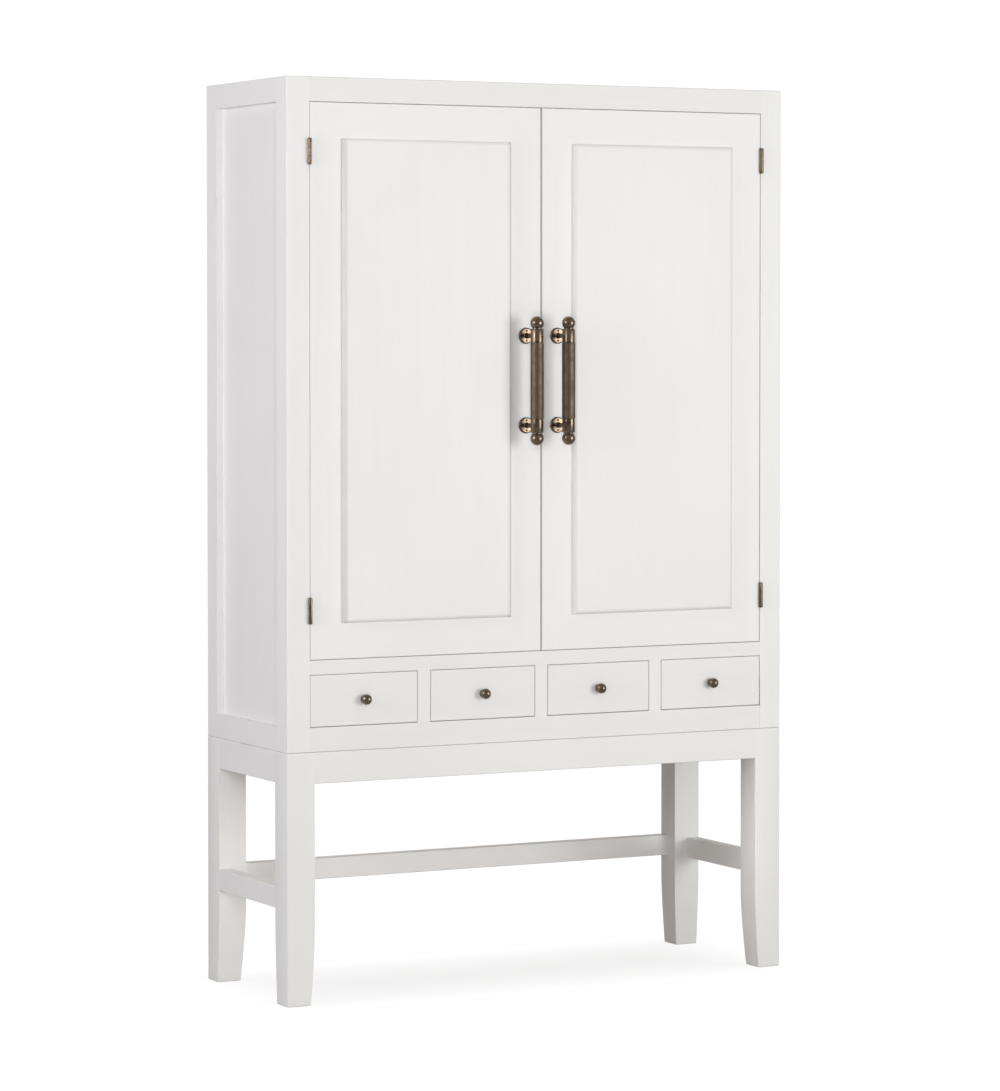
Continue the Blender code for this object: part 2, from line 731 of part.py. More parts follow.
def hinge(side, place, level, post, door_frame):
    """A butt hinge: the post's leaf holds the pin, the door's leaf turns on it between the two knuckles."""
    third = HINGE_HEIGHT / 3
    door_edge = POST_INNER - DOOR_GAP
    post_plate = (POST_INNER, POST_INNER + HINGE_LEAF_THICKNESS)
    door_plate = (door_edge - HINGE_LEAF_THICKNESS, door_edge)
    post_leaf = hinge_leaf(
        f"hinge_post_leaf_{side}_{place}", side, level, post_plate,
        ((0.0, third - SEAT_GAP), (2 * third + SEAT_GAP, HINGE_HEIGHT)),
    )
    door_leaf = hinge_leaf(
        f"hinge_door_leaf_{side}_{place}", side, level, door_plate, ((third, 2 * third),)
    )
    axis = (hinge_x(side), HINGE_Y, level + HINGE_HEIGHT / 2)
    pin_length = 2 * third
    combine(post_leaf, helper_rod(post_leaf, axis, HINGE_PIN_RADIUS, pin_length), "UNION")
    bore = (HINGE_PIN_RADIUS + HINGE_PIN_PLAY) / math.cos(math.pi / TURNED_STEPS)
    combine(door_leaf, helper_rod(door_leaf, axis, bore, HINGE_HEIGHT), "DIFFERENCE")
    for host, (plate_low, plate_high) in ((post, post_plate), (door_frame, door_plate)):
        low, high = mirrored(
            side,
            (plate_low, FRONT - OVERSHOOT, level),
            (plate_high, HINGE_LEAF_BACK, level + HINGE_HEIGHT),
        )
        let_in(host, low, high)
    return door_leaf


# Doors: a frame with a raised panel held in its groove, hung on two hinges, with a handle on the inner stile
for side in SIDES:
    door_low, door_high = mirrored(
        side, (MEETING_GAP / 2, FRONT, DOOR_BOTTOM), (POST_INNER - DOOR_GAP, DOOR_BACK, DOOR_TOP)
    )
    door_frame = timber(
        f"door_frame_{side}", door_low, door_high, PAINT,
        ("front top", "front bottom", "front left", "front right"),
    )
    field_low = Vector((door_low.x + DOOR_STILE_WIDTH, FRONT, DOOR_BOTTOM + DOOR_RAIL_HEIGHT))
    field_high = Vector((door_high.x - DOOR_STILE_WIDTH, DOOR_BACK, DOOR_TOP - DOOR_RAIL_HEIGHT))
    through = Vector((0, OVERSHOOT, 0))
    carve(door_frame, field_low - through, field_high + through)
    tongue_far = DOOR_BACK - DOOR_TONGUE_COVER
    tongue_near = tongue_far - DOOR_TONGUE_THICKNESS
    tongue_low = (field_low.x - PANEL_TONGUE, tongue_near, field_low.z - PANEL_TONGUE)
    tongue_high = (field_high.x + PANEL_TONGUE, tongue_far, field_high.z + PANEL_TONGUE)
    let_in(door_frame, tongue_low, tongue_high)
    door_panel = raised_field(
        f"door_panel_{side}",
        (field_low.x + SEAT_GAP, FRONT - FIELD_PROUD, field_low.z + SEAT_GAP),
        (field_high.x - SEAT_GAP, (tongue_near + tongue_far) / 2, field_high.z - SEAT_GAP),
    )
    join(door_panel, tongue_low, tongue_high)
    hinge_levels = {
        "lower": DOOR_BOTTOM + HINGE_FROM_DOOR_END - HINGE_HEIGHT / 2,
        "upper": DOOR_TOP - HINGE_FROM_DOOR_END - HINGE_HEIGHT / 2,
    }
    leaves = [
        hinge(side, place, level, posts["front", side], door_frame)
        for place, level in hinge_levels.items()
    ]
    handle_x = face_plane(side)[1] * (MEETING_GAP + DOOR_STILE_WIDTH) / 2
    handle = door_handle(f"door_handle_{side}", handle_x, DOOR_BOTTOM + HANDLE_CENTRE_RISE)
    swing = joint_axis(f"door_swing_{side}", (hinge_x(side), HINGE_Y, DOOR_BOTTOM))
    hang(swing, (door_frame, door_panel, handle, *leaves))


def knob_profile():
    """A ball on a short stem and a small round base, from the ball's pole down to the seat."""
    ball_stem = neck_angle(KNOB_BALL_RADIUS, KNOB_STEM_RADIUS)
    ball_drop = KNOB_BALL_RADIUS * math.cos(math.radians(ball_stem))
    stem_top = KNOB_BASE_THICKNESS + KNOB_STEM_LENGTH
    profile = ball_arc(KNOB_BALL_RADIUS, stem_top + ball_drop, 0.0, 180.0 - ball_stem)
    profile[0] = (0.0, stem_top + ball_drop + KNOB_BALL_RADIUS)
    edge = KNOB_BASE_THICKNESS / 3
    return profile + [
        (KNOB_STEM_RADIUS, KNOB_BASE_THICKNESS),
        (KNOB_BASE_RADIUS - edge, KNOB_BASE_THICKNESS),
        (KNOB_BASE_RADIUS, KNOB_BASE_THICKNESS - edge),
        (KNOB_BASE_RADIUS, SEAT_GAP),
        (0.0, SEAT_GAP),
    ]


# Drawers: a painted front with a knob, fixed to an open box that slides on the floor between the guides
for index in range(DRAWER_COUNT):
    number = index + 1
    left = opening_left(index) + DRAWER_GAP
    right = opening_left(index) + DRAWER_OPENING_WIDTH - DRAWER_GAP
    front_bottom = FLOOR_TOP + DRAWER_GAP
    front_top = MIDDLE_RAIL_BOTTOM - DRAWER_TOP_GAP
    front_back = FRONT + DRAWER_FRONT_THICKNESS
    drawer_front = timber(
        f"drawer_front_{number}", (left, FRONT, front_bottom), (right, front_back, front_top), PAINT,
        ("front top", "front bottom", "front left", "front right"),
    )
    box_bottom = FLOOR_TOP + SEAT_GAP
    box_top = MIDDLE_RAIL_BOTTOM - DRAWER_HEADROOM
    box_near = front_back + SEAT_GAP
    box_far = BACK_PANEL_FRONT - DRAWER_STOP_GAP
    drawer_box = timber(
        f"drawer_box_{number}", (left, box_near, box_bottom), (right, box_far, box_top), BARE_WOOD
    )
    carve(
        drawer_box,
        (left + DRAWER_WALL, box_near + DRAWER_WALL, box_bottom + DRAWER_BOTTOM),
        (right - DRAWER_WALL, box_far - DRAWER_WALL, box_top + OVERSHOOT),
    )
    middle = ((left + right) / 2, FRONT, (front_bottom + front_top) / 2)
    knob = turned(f"drawer_knob_{number}", knob_profile(), middle, cabinet, BRASS)
    knob.rotation_euler = TO_FRONT.to_euler()
    slide = joint_axis(f"drawer_slide_{number}", ((left + right) / 2, FRONT, box_bottom))
    hang(slide, (drawer_front, drawer_box, knob))
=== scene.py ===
"""Looks of a painted two-door cabinet on a stand: off-white paint, aged brass and waxed wood.

Metres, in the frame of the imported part: the doors face -Y and the floor is at z = 0.
"""

import math

import bpy
import numpy as np
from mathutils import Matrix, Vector


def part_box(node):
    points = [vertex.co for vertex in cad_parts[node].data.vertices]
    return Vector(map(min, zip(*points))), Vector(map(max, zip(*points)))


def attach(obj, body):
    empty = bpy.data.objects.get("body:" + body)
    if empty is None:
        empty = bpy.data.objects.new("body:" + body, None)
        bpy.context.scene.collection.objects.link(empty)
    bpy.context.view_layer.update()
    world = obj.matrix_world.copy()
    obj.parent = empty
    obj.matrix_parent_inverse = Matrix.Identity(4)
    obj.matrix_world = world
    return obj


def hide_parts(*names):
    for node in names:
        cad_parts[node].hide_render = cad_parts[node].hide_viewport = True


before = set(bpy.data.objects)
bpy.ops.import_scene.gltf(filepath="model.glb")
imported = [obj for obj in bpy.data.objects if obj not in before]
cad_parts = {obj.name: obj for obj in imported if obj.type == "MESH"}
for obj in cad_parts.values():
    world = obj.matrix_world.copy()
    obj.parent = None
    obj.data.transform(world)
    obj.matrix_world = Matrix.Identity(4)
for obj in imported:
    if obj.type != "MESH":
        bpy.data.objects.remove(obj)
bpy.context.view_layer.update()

# Case posts and rails: straight softwood timbers, tenoned into one another, planed flush and filled.
# The off-white paint is brushed along each timber, so fine bristle lines follow it, and it is
# rubbed through to a brown undercoat here and there along the arrises.
PAINT = (0.865, 0.865, 0.861, 1)
PAINT_THIN_AND_SHADED = (0.795, 0.792, 0.784, 1)
UNDERCOAT = (0.33, 0.25, 0.185, 1)
PAINT_RELIEF = 0.00002
PAINT_ROUGHNESS = 0.36
STROKE_ROUGHNESS = 0.16
PAINT_DRIFT = 0.16
PAINT_STREAK = 0.1
LAP_SHARE = 0.4
RUB_WIDTH = 0.0007
RUB_STRENGTH = 0.65
RUB_ROUGHNESS = 0.2
RUB_SINK = -0.6
SEAT_GAP = 0.0003
ARRIS = 0.0018
ARRIS_POINTS = 5
SECTION_ROUNDING = 0.9
SHARP_ANGLE = 40.0
FILLER_THINNESS = 0.5
CORNERS = np.array(((1, 1), (-1, 1), (-1, -1), (1, -1)))
BOARD_AXES = {"X": (1, 2, 0), "Y": (2, 0, 1), "Z": (0, 1, 2)}
STROKES_ALONG = 5.0
STROKES_ACROSS = 330.0
STROKE_STRETCH = {
    "X": (STROKES_ALONG, STROKES_ACROSS, STROKES_ACROSS),
    "Y": (STROKES_ACROSS, STROKES_ALONG, STROKES_ACROSS),
    "Z": (STROKES_ACROSS, STROKES_ACROSS, STROKES_ALONG),
}
CASE_TIMBERS = {
    "X": ("top_rail_front", "top_rail_back", "middle_rail_front", "bottom_rail_front"),
    "Y": ("top_rail_left", "top_rail_right", "bottom_rail_left", "bottom_rail_right"),
    "Z": ("post_front_left", "post_front_right", "post_back_left", "post_back_right"),
}
# Painted shade: rails take a darker mix than uprights, for the sheen that paint brushed across them loses.
PAINTED_SHADE_BY_AXIS = {"X": 0.55, "Y": 0.4, "Z": 0.25}
FINISH = {"Colour": "Color", "Roughness": "Float", "Height": "Float"}


def node_group(name, inputs, outputs):
    """A new shader node group: its tree, the sockets it is given and the sockets it puts out."""
    tree = bpy.data.node_groups.new(name, "ShaderNodeTree")
    for way, sockets in (("INPUT", inputs), ("OUTPUT", outputs)):
        for label, kind in sockets.items():
            tree.interface.new_socket(label, in_out=way, socket_type=f"NodeSocket{kind}")
    given = tree.nodes.new("NodeGroupInput").outputs
    out = tree.nodes.new("NodeGroupOutput").inputs
    return tree, given, out


def feed(tree, socket, value):
    """Link a socket to another one, or set it to a plain value."""
    if isinstance(value, bpy.types.NodeSocket):
        tree.links.new(value, socket)
    else:
        socket.default_value = value


def add_node(tree, kind, sockets, **options):
    """Add a shader node, set its options and feed its sockets, named or numbered. Gives its outputs."""
    made = tree.nodes.new(f"ShaderNode{kind}")
    for option, value in options.items():
        setattr(made, option, value)
    for socket, value in sockets.items():
        feed(tree, made.inputs[socket], value)
    return made.outputs


def calc(tree, operation, *values):
    """One step of arithmetic on numbers or sockets."""
    return add_node(tree, "Math", dict(enumerate(values)), operation=operation)[0]


def vector_calc(tree, operation, *values):
    """One step of arithmetic on vectors."""
    return add_node(tree, "VectorMath", dict(enumerate(values)), operation=operation)[0]


def noise(tree, vector, scale, detail=2.0, roughness=0.5):
    """Cloudy noise from 0 to 1."""
    sockets = {"Vector": vector, "Scale": scale, "Detail": detail, "Roughness": roughness}
    return add_node(tree, "TexNoise", sockets)[0]


def fade(tree, value, start, end, low=0.0, high=1.0):
    """A smooth step from low at start to high at end."""
    sockets = {"Value": value, "From Min": start, "From Max": end, "To Min": low, "To Max": high}
    return add_node(tree, "MapRange", sockets, interpolation_type="SMOOTHSTEP")[0]


def blend_colour(tree, share, under, over):
    """One colour laid over another."""
    return add_node(tree, "Mix", {0: share, 6: under, 7: over}, data_type="RGBA")[2]


def brush_marks_group():
    """Bristle lines: noise squeezed across the stroke and drawn out along it, at two sizes."""
    tree, given, out = node_group(
        "brush_marks", {"Vector": "Vector", "Stretch": "Vector"}, {"Stroke": "Float"}
    )
    drawn = vector_calc(tree, "MULTIPLY", given["Vector"], given["Stretch"])
    bristles = noise(tree, drawn, 1.0, 4.0, 0.6)
    laps = noise(tree, drawn, 0.11, 2.0)
    change = calc(tree, "SUBTRACT", laps, bristles)
    feed(tree, out["Stroke"], calc(tree, "MULTIPLY_ADD", change, LAP_SHARE, bristles))
    return tree


def rubbed_edges_group():
    """Rubbed arrises: of a surface point's three distances to the faces of its piece's box, the middle
    one is its distance to the nearest edge. It is set against a width that noise makes come and go."""
    tree, given, out = node_group(
        "rubbed_edges",
        {"Vector": "Vector", "Centre": "Vector", "Half": "Vector", "Width": "Float"},
        {"Rub": "Float"},
    )
    from_centre = vector_calc(
        tree, "ABSOLUTE", vector_calc(tree, "SUBTRACT", given["Vector"], given["Centre"])
    )
    to_faces = vector_calc(tree, "SUBTRACT", given["Half"], from_centre)
    x, y, z = add_node(tree, "SeparateXYZ", {0: to_faces})
    to_edge = calc(
        tree, "MAXIMUM", calc(tree, "MINIMUM", x, y), calc(tree, "MINIMUM", calc(tree, "MAXIMUM", x, y), z)
    )
    patches = fade(tree, noise(tree, given["Vector"], 6.0, 5.0, 0.65), 0.56, 0.76, 0.0, 1.9)
    specks = noise(tree, given["Vector"], 160.0, 2.0)
    reach = calc(tree, "MULTIPLY", calc(tree, "MULTIPLY", given["Width"], patches), specks)
    feed(tree, out["Rub"], fade(tree, to_edge, calc(tree, "MULTIPLY_ADD", reach, 2.0, 0.0001), reach))
    return tree


def paint_group():
    """Brushed paint: a full coat and a darker one, mixed by a share given for each piece, painted shade on the
    rails and side panels, and by the strokes and a slow drift where the coat runs thinner, with the undercoat
    showing where the arrises are rubbed."""
    tree, given, out = node_group(
        "brushed_paint",
        {
            "Vector": "Vector", "Stretch": "Vector", "Centre": "Vector", "Half": "Vector",
            "Width": "Float", "ThinAndShade": "Float",
        },
        FINISH,
    )
    strokes = add_node(tree, "Group", {}, node_tree=BRUSH_MARKS)[0]
    edges = add_node(tree, "Group", {}, node_tree=RUBBED_EDGES)[0]
    for socket in ("Vector", "Stretch"):
        feed(tree, strokes.node.inputs[socket], given[socket])
    for socket in ("Vector", "Centre", "Half", "Width"):
        feed(tree, edges.node.inputs[socket], given[socket])
    clouds = noise(tree, given["Vector"], 2.6, 3.0)
    drift = fade(tree, clouds, 0.3, 0.7, -PAINT_DRIFT, PAINT_DRIFT)
    streaks = fade(tree, strokes, 0.3, 0.7, -PAINT_STREAK, PAINT_STREAK)
    thin_and_shade = calc(tree, "ADD", given["ThinAndShade"], calc(tree, "ADD", drift, streaks))
    coat = blend_colour(tree, thin_and_shade, PAINT, PAINT_THIN_AND_SHADED)
    bared = calc(tree, "MULTIPLY", edges, RUB_STRENGTH)
    feed(tree, out["Colour"], blend_colour(tree, bared, coat, UNDERCOAT))
    coat_roughness = calc(tree, "MULTIPLY_ADD", strokes, STROKE_ROUGHNESS, PAINT_ROUGHNESS)
    feed(tree, out["Roughness"], calc(tree, "MULTIPLY_ADD", edges, RUB_ROUGHNESS, coat_roughness))
    feed(tree, out["Height"], calc(tree, "MULTIPLY_ADD", edges, RUB_SINK, strokes))
    return tree


BRUSH_MARKS = brush_marks_group()
RUBBED_EDGES = rubbed_edges_group()
BRUSHED_PAINT = paint_group()


def new_material(name):
    """A material with its tree and its Principled shader's sockets."""
    material = bpy.data.materials.new(name)
    material.use_nodes = True
    tree = material.node_tree
    return material, tree, tree.nodes["Principled BSDF"].inputs


def coated(name, group, values, relief):
    """A material whose colour, roughness and relief come from a node group fed with the given values.
    Gives the material, its tree and the group's own sockets."""
    material, tree, shader = new_material(name)
    surface = add_node(tree, "Group", {}, node_tree=group)
    sockets = surface[0].node.inputs
    for socket, value in values.items():
        feed(tree, sockets[socket], value)
    feed(tree, sockets["Vector"], add_node(tree, "TexCoord", {})["Object"])
    feed(tree, shader["Base Color"], surface["Colour"])
    feed(tree, shader["Roughness"], surface["Roughness"])
    bump = add_node(tree, "Bump", {"Height": surface["Height"], "Distance": relief, "Strength": 1.0})
    feed(tree, shader["Normal"], bump[0])
    return material, tree, sockets


def paint_coat(name, low, high, thin_and_shade, **values):
    """Brushed paint whose rubbed arrises are placed by a piece's box. Gives what coated gives."""
    values |= {"Centre": (low + high) / 2, "Half": (high - low) / 2, "Width": RUB_WIDTH, "ThinAndShade": thin_and_shade}
    return coated(f"paint_{name}", BRUSHED_PAINT, values, PAINT_RELIEF)


def paint(name, low, high, along, thin_and_shade=None):
    """Brushed paint on one piece, with the strokes along its length."""
    thin_and_shade = PAINTED_SHADE_BY_AXIS[along] if thin_and_shade is None else thin_and_shade
    return paint_coat(name, low, high, thin_and_shade, Stretch=STROKE_STRETCH[along])[0]


def finish_node(node, material):
    """Give a CAD node its finish."""
    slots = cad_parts[node].data.materials
    slots.clear()
    slots.append(material)


def paint_timbers(timbers):
    """Paint CAD nodes that are listed by the axis they run along."""
    for along, nodes in timbers.items():
        for node in nodes:
            finish_node(node, paint(node, *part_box(node), along))


def eased_rows(bottom, top, ease, between):
    """Heights along a bar, and how far its section draws in at each: a quarter round at both ends."""
    turn = np.linspace(0.0, np.pi / 2, ARRIS_POINTS)
    rise = ease * (1 - np.cos(turn))
    inset = ease * (1 - np.sin(turn))
    heights = np.concatenate((bottom + rise, between, (top - rise)[::-1]))
    insets = np.concatenate((inset, np.zeros(len(between)), inset[::-1]))
    return heights, insets


def bar_loops(heights, low_u, high_u, low_v, high_v, arris):
    """Rows of points around a rectangle whose corners are quarter rounds, one row for each height.
    The sides may change from row to row, and the rounding from corner to corner."""
    arris = np.broadcast_to(arris, 4)
    turn = np.linspace(0.0, np.pi / 2, ARRIS_POINTS)
    quarters = np.pi / 2 * np.arange(4)[:, None] + turn
    corner_u = np.stack((high_u, low_u, low_u, high_u), -1) - CORNERS[:, 0] * arris
    corner_v = np.stack((high_v, high_v, low_v, low_v), -1) - CORNERS[:, 1] * arris
    u = (corner_u[:, :, None] + arris[:, None] * np.cos(quarters)).reshape(len(heights), -1)
    v = (corner_v[:, :, None] + arris[:, None] * np.sin(quarters)).reshape(len(heights), -1)
    w = np.broadcast_to(heights[:, None], u.shape)
    return np.stack((u, v, w), -1)


def lofted(loops):
    """A closed skin over rows of points: quads between neighbouring rows, a flat face at each end."""
    rows, columns = loops.shape[:2]
    index = np.arange(rows * columns).reshape(rows, columns)
    onward = np.roll(index, -1, axis=1)
    quads = np.stack((index[:-1], onward[:-1], onward[1:], index[1:]), -1).reshape(-1, 4)
    return loops.reshape(-1, 3), quads.tolist() + [index[0, ::-1].tolist(), index[-1].tolist()]


def board_skin(low, high, along, arris, eased=True):
    """A board between two corners: rounded rectangles carried along its length, its ends eased or
    left square."""
    axes = list(BOARD_AXES[along])
    low, high = np.minimum(low, high)[axes], np.maximum(low, high)[axes]
    heights, inset = np.array((low[2], high[2])), np.zeros(2)
    if eased:
        heights, inset = eased_rows(low[2], high[2], arris, np.zeros(0))
    sides = (low[0] + inset, high[0] - inset, low[1] + inset, high[1] - inset)
    local = bar_loops(heights, *sides, arris * SECTION_ROUNDING)
    loops = np.empty_like(local)
    loops[:, :, axes] = local
    return lofted(loops)


def make_piece(name, skins, material, body, stands_for=(), sharp=SHARP_ANGLE):
    """One piece of the object, made of closed skins: each gives its points and its faces."""
    points, faces, first = [], [], 0
    for skin_points, skin_faces in skins:
        points.append(skin_points)
        faces += [[first + corner for corner in face] for face in skin_faces]
        first += len(skin_points)
    mesh = bpy.data.meshes.new(name)
    mesh.from_pydata(np.concatenate(points), [], faces)
    mesh.shade_smooth()
    mesh.set_sharp_from_angle(angle=math.radians(sharp))
    mesh.materials.append(material)
    piece = bpy.data.objects.new(name, mesh)
    bpy.context.scene.collection.objects.link(piece)
    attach(piece, body)
    if stands_for:
        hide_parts(*stands_for)
    return piece


def joint_fills(timber, along, holders, back=math.inf, top=math.inf, sunk=0.0):
    """Slabs of filler that close the seams between a timber's shoulders and the two that hold it.
    They have the timber's own section, and may be sunk into the rounded edges of its holders."""
    axis = "XYZ".index(along)
    low, high = (np.array(corner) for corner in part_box(timber))
    high = np.minimum(high, (math.inf, back, top))
    near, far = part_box(holders[0])[1][axis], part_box(holders[1])[0][axis]
    skins = []
    for start, end in ((near - sunk, near + SEAT_GAP), (far - SEAT_GAP, far + sunk)):
        low[axis], high[axis] = start, end
        skins.append(board_skin(low, high, along, ARRIS, eased=False))
    return skins


def fill_joints(name, skins):
    """One piece for all the filler of a frame, painted over. Its box is too wide to have rubbed edges."""
    reach = Vector((9, 9, 9))
    coat = paint(name, -reach, reach, "X", FILLER_THINNESS)
    make_piece(name, skins, coat, "cabinet")


paint_timbers(CASE_TIMBERS)
floor_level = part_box("bottom_rail_front")[1].z
case_fills = joint_fills("top_rail_back", "X", ("post_back_left", "post_back_right"))
for rail in ("top_rail_front", "middle_rail_front", "bottom_rail_front"):
    case_fills += joint_fills(rail, "X", ("post_front_left", "post_front_right"))
for side in ("left", "right"):
    side_posts = (f"post_front_{side}", f"post_back_{side}")
    case_fills += joint_fills(f"top_rail_{side}", "Y", side_posts)
    case_fills += joint_fills(f"bottom_rail_{side}", "Y", side_posts, top=floor_level)
rail_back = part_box("bottom_rail_front")[1].y
for number in range(1, 4):
    case_fills += joint_fills(
        f"drawer_divider_{number}", "Z", ("bottom_rail_front", "middle_rail_front"),
        back=rail_back, sunk=ARRIS,
    )
fill_joints("joint_filler_case", case_fills)

# Side panels, top panel and drawer dividers: thin boards in the frame's grooves, and short uprights
# tenoned between two rails. All are painted with the case, in the same coat, but the recessed side panels take
# a darker mix, a painted shade.
SIDE_PAINTED_SHADE = 0.45
paint_timbers({
    "X": ("top_panel",),
    "Z": ("drawer_divider_1", "drawer_divider_2", "drawer_divider_3"),
})
for node in ("side_panel_left", "side_panel_right"):
    finish_node(node, paint(node, *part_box(node), "Z", SIDE_PAINTED_SHADE))

# Inner boards: back panel, floor, deck and shelves of flat-sawn softwood, waxed and left unpainted.
# Growth rings, fibres and open pores run along each board.
WOOD_LIGHT = (0.52, 0.34, 0.185, 1)
WOOD_DARK = (0.33, 0.185, 0.085, 1)
WOOD_PORE = (0.16, 0.085, 0.04, 1)
WOOD_RELIEF = 0.0001
WOOD_ROUGHNESS = 0.42
FIBRE_ROUGHNESS = 0.2
FIBRE_TONE = 0.5
LATE_WOOD_TONE = 0.55
PORE_TONE = 0.55
RINGS_PER_METRE = 95.0
GRAIN_STRETCH = 0.014
HEART_SPREAD = 0.22
INNER_BOARDS = {
    "X": ("cabinet_floor", "drawer_deck", "shelf_lower", "shelf_upper"),
    "Z": ("back_panel",),
}
hearts = np.random.default_rng(11)


def wood_group():
    """Sawn wood: rings are the distance from a trunk's heart, bent by slow noise, and each darkens
    towards its late wood. Fibres and pores are noise drawn out along the grain."""
    tree, given, out = node_group(
        "sawn_wood",
        {"Vector": "Vector", "Heart": "Vector", "Across": "Vector"},
        FINISH,
    )
    from_heart = vector_calc(tree, "SUBTRACT", given["Vector"], given["Heart"])
    drawn = vector_calc(tree, "MULTIPLY", from_heart, given["Across"])
    sway = add_node(tree, "TexNoise", {"Vector": from_heart, "Scale": 4.0, "Detail": 2.0})[1]
    bent = vector_calc(tree, "MULTIPLY_ADD", sway, (0.05, 0.05, 0.05), drawn)
    radius = add_node(tree, "VectorMath", {0: bent}, operation="LENGTH")["Value"]
    ring = calc(tree, "FRACT", calc(tree, "MULTIPLY", radius, RINGS_PER_METRE))
    late_wood = fade(tree, ring, 0.25, 0.97)
    fibres = noise(tree, drawn, 950.0, 3.0, 0.6)
    pores = fade(tree, noise(tree, drawn, 1700.0, 1.0), 0.63, 0.74)
    ring_tone = calc(tree, "MULTIPLY", late_wood, LATE_WOOD_TONE)
    tone = calc(tree, "MULTIPLY_ADD", fibres, FIBRE_TONE, ring_tone)
    sawn = blend_colour(tree, tone, WOOD_LIGHT, WOOD_DARK)
    pore_tone = calc(tree, "MULTIPLY", pores, PORE_TONE)
    feed(tree, out["Colour"], blend_colour(tree, pore_tone, sawn, WOOD_PORE))
    feed(tree, out["Roughness"], calc(tree, "MULTIPLY_ADD", fibres, FIBRE_ROUGHNESS, WOOD_ROUGHNESS))
    feed(tree, out["Height"], calc(tree, "SUBTRACT", calc(tree, "MULTIPLY", fibres, 0.6), pores))
    return tree


SAWN_WOOD = wood_group()


def wood(name, low, high, along):
    """Waxed wood for one board, sawn from its own place in the trunk."""
    across = [GRAIN_STRETCH if axis == along else 1.0 for axis in "XYZ"]
    heart = np.add(low, high) / 2 + hearts.uniform(-HEART_SPREAD, HEART_SPREAD, 3)
    return coated(f"wood_{name}", SAWN_WOOD, {"Heart": heart, "Across": across}, WOOD_RELIEF)[0]


for along, nodes in INNER_BOARDS.items():
    for node in nodes:
        finish_node(node, wood(node, *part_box(node), along))

# Stand: aprons and stretchers tenoned into four square legs, painted like the case.
# Each leg's two inner faces are sawn away in a curve towards the foot, and its arrises are eased.
STAND_TIMBERS = {
    "X": ("apron_front", "apron_back", "stretcher_rear"),
    "Y": ("apron_left", "apron_right", "stretcher_left", "stretcher_right"),
}
LEG_TAPER = 0.0095
LEG_TAPER_START = 0.165
LEG_TAPER_CURVE = 1.5
LEG_TAPER_ROWS = 32
LEG_INNER_ARRIS = 0.0003
LEG_THINNESS = 0.4


def leg_skin(low, high, inner_x, inner_y):
    """A leg: its rectangle, whose inner sides move out by taper times (1 - z / start) to a power.
    Only its outer corner is rounded, and its top is eased on the outer sides."""
    between = np.append(np.linspace(ARRIS, LEG_TAPER_START, LEG_TAPER_ROWS)[1:], high.z - 2 * ARRIS)
    heights, inset = eased_rows(low.z, high.z, ARRIS, between)
    taper = LEG_TAPER * np.clip(1 - heights / LEG_TAPER_START, 0.0, 1.0) ** LEG_TAPER_CURVE
    foot_inset = inset * (heights < LEG_TAPER_START)
    sides = []
    for low_side, high_side, inner in ((low.x, high.x, inner_x), (low.y, high.y, inner_y)):
        for side, way in ((low_side, -1), (high_side, 1)):
            sides.append(side - way * (foot_inset + taper if way == inner else inset))
    outer = (CORNERS == (-inner_x, -inner_y)).all(axis=1)
    rounding = np.where(outer, ARRIS * SECTION_ROUNDING, LEG_INNER_ARRIS)
    return lofted(bar_loops(heights, *sides, rounding))


paint_timbers(STAND_TIMBERS)
for depth_name, inner_y in (("front", 1), ("back", -1)):
    for side, inner_x in (("left", 1), ("right", -1)):
        node = f"leg_{depth_name}_{side}"
        low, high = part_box(node)
        make_piece(
            f"tapered_{node}", [leg_skin(low, high, inner_x, inner_y)],
            paint(node, low, high, "Z", LEG_THINNESS), "cabinet", [node],
        )
stand_fills = joint_fills("apron_front", "X", ("leg_front_left", "leg_front_right"))
for rail in ("apron_back", "stretcher_rear"):
    stand_fills += joint_fills(rail, "X", ("leg_back_left", "leg_back_right"))
for side in ("left", "right"):
    for rail in (f"apron_{side}", f"stretcher_{side}"):
        stand_fills += joint_fills(rail, "Y", (f"leg_front_{side}", f"leg_back_{side}"))
fill_joints("joint_filler_stand", stand_fills)

# Doors: two stiles and two rails glued up as a frame, with a raised panel let into its groove.
# The panel's edge is rolled over in a quarter ellipse, and paint has all but closed the seam round it.
STILE_WIDTH = 0.073
DOOR_RAIL_HEIGHT = 0.075
ROLL_WIDTH = 0.009
ROLL_DEPTH = 0.010
ROLL_POINTS = 16
ROLL_SHARP_ANGLE = 30.0
PAINTED_SEAM = 0.00008
PANEL_TONGUE = 0.008
TONGUE_THICKNESS = 0.008
TONGUE_COVER = 0.005
DOOR_THINNESS = 0.15
# Painted shade: grey darkens the upright rolls of each panel, fading in towards the frame, heavier on the left
# door.
PANEL_ROLL_SHADE = (0.675, 0.67, 0.658, 1)
PANEL_SHADE_REACH = (0.014, 0.003)
PANEL_SHADE_SHARE = {"left": 0.95, "right": 0.2}


def off_middle(tree, centre):
    """How far a point lies to the left or right of a piece's middle."""
    x = add_node(tree, "SeparateXYZ", {0: add_node(tree, "TexCoord", {})["Object"]})["X"]
    return calc(tree, "ABSOLUTE", calc(tree, "SUBTRACT", x, centre.x))


def door_paint(name, low, high):
    """Paint on a door frame: strokes run up the stiles, and across on the rails between them."""
    material, tree, sockets = paint_coat(name, low, high, DOOR_THINNESS)
    rail_half = (high.x - low.x) / 2 - STILE_WIDTH
    on_rail = calc(tree, "LESS_THAN", off_middle(tree, (low + high) / 2), rail_half)
    choice = {0: on_rail, 4: STROKE_STRETCH["Z"], 5: STROKE_STRETCH["X"]}
    feed(tree, sockets["Stretch"], add_node(tree, "Mix", choice, data_type="VECTOR")[1])
    return material


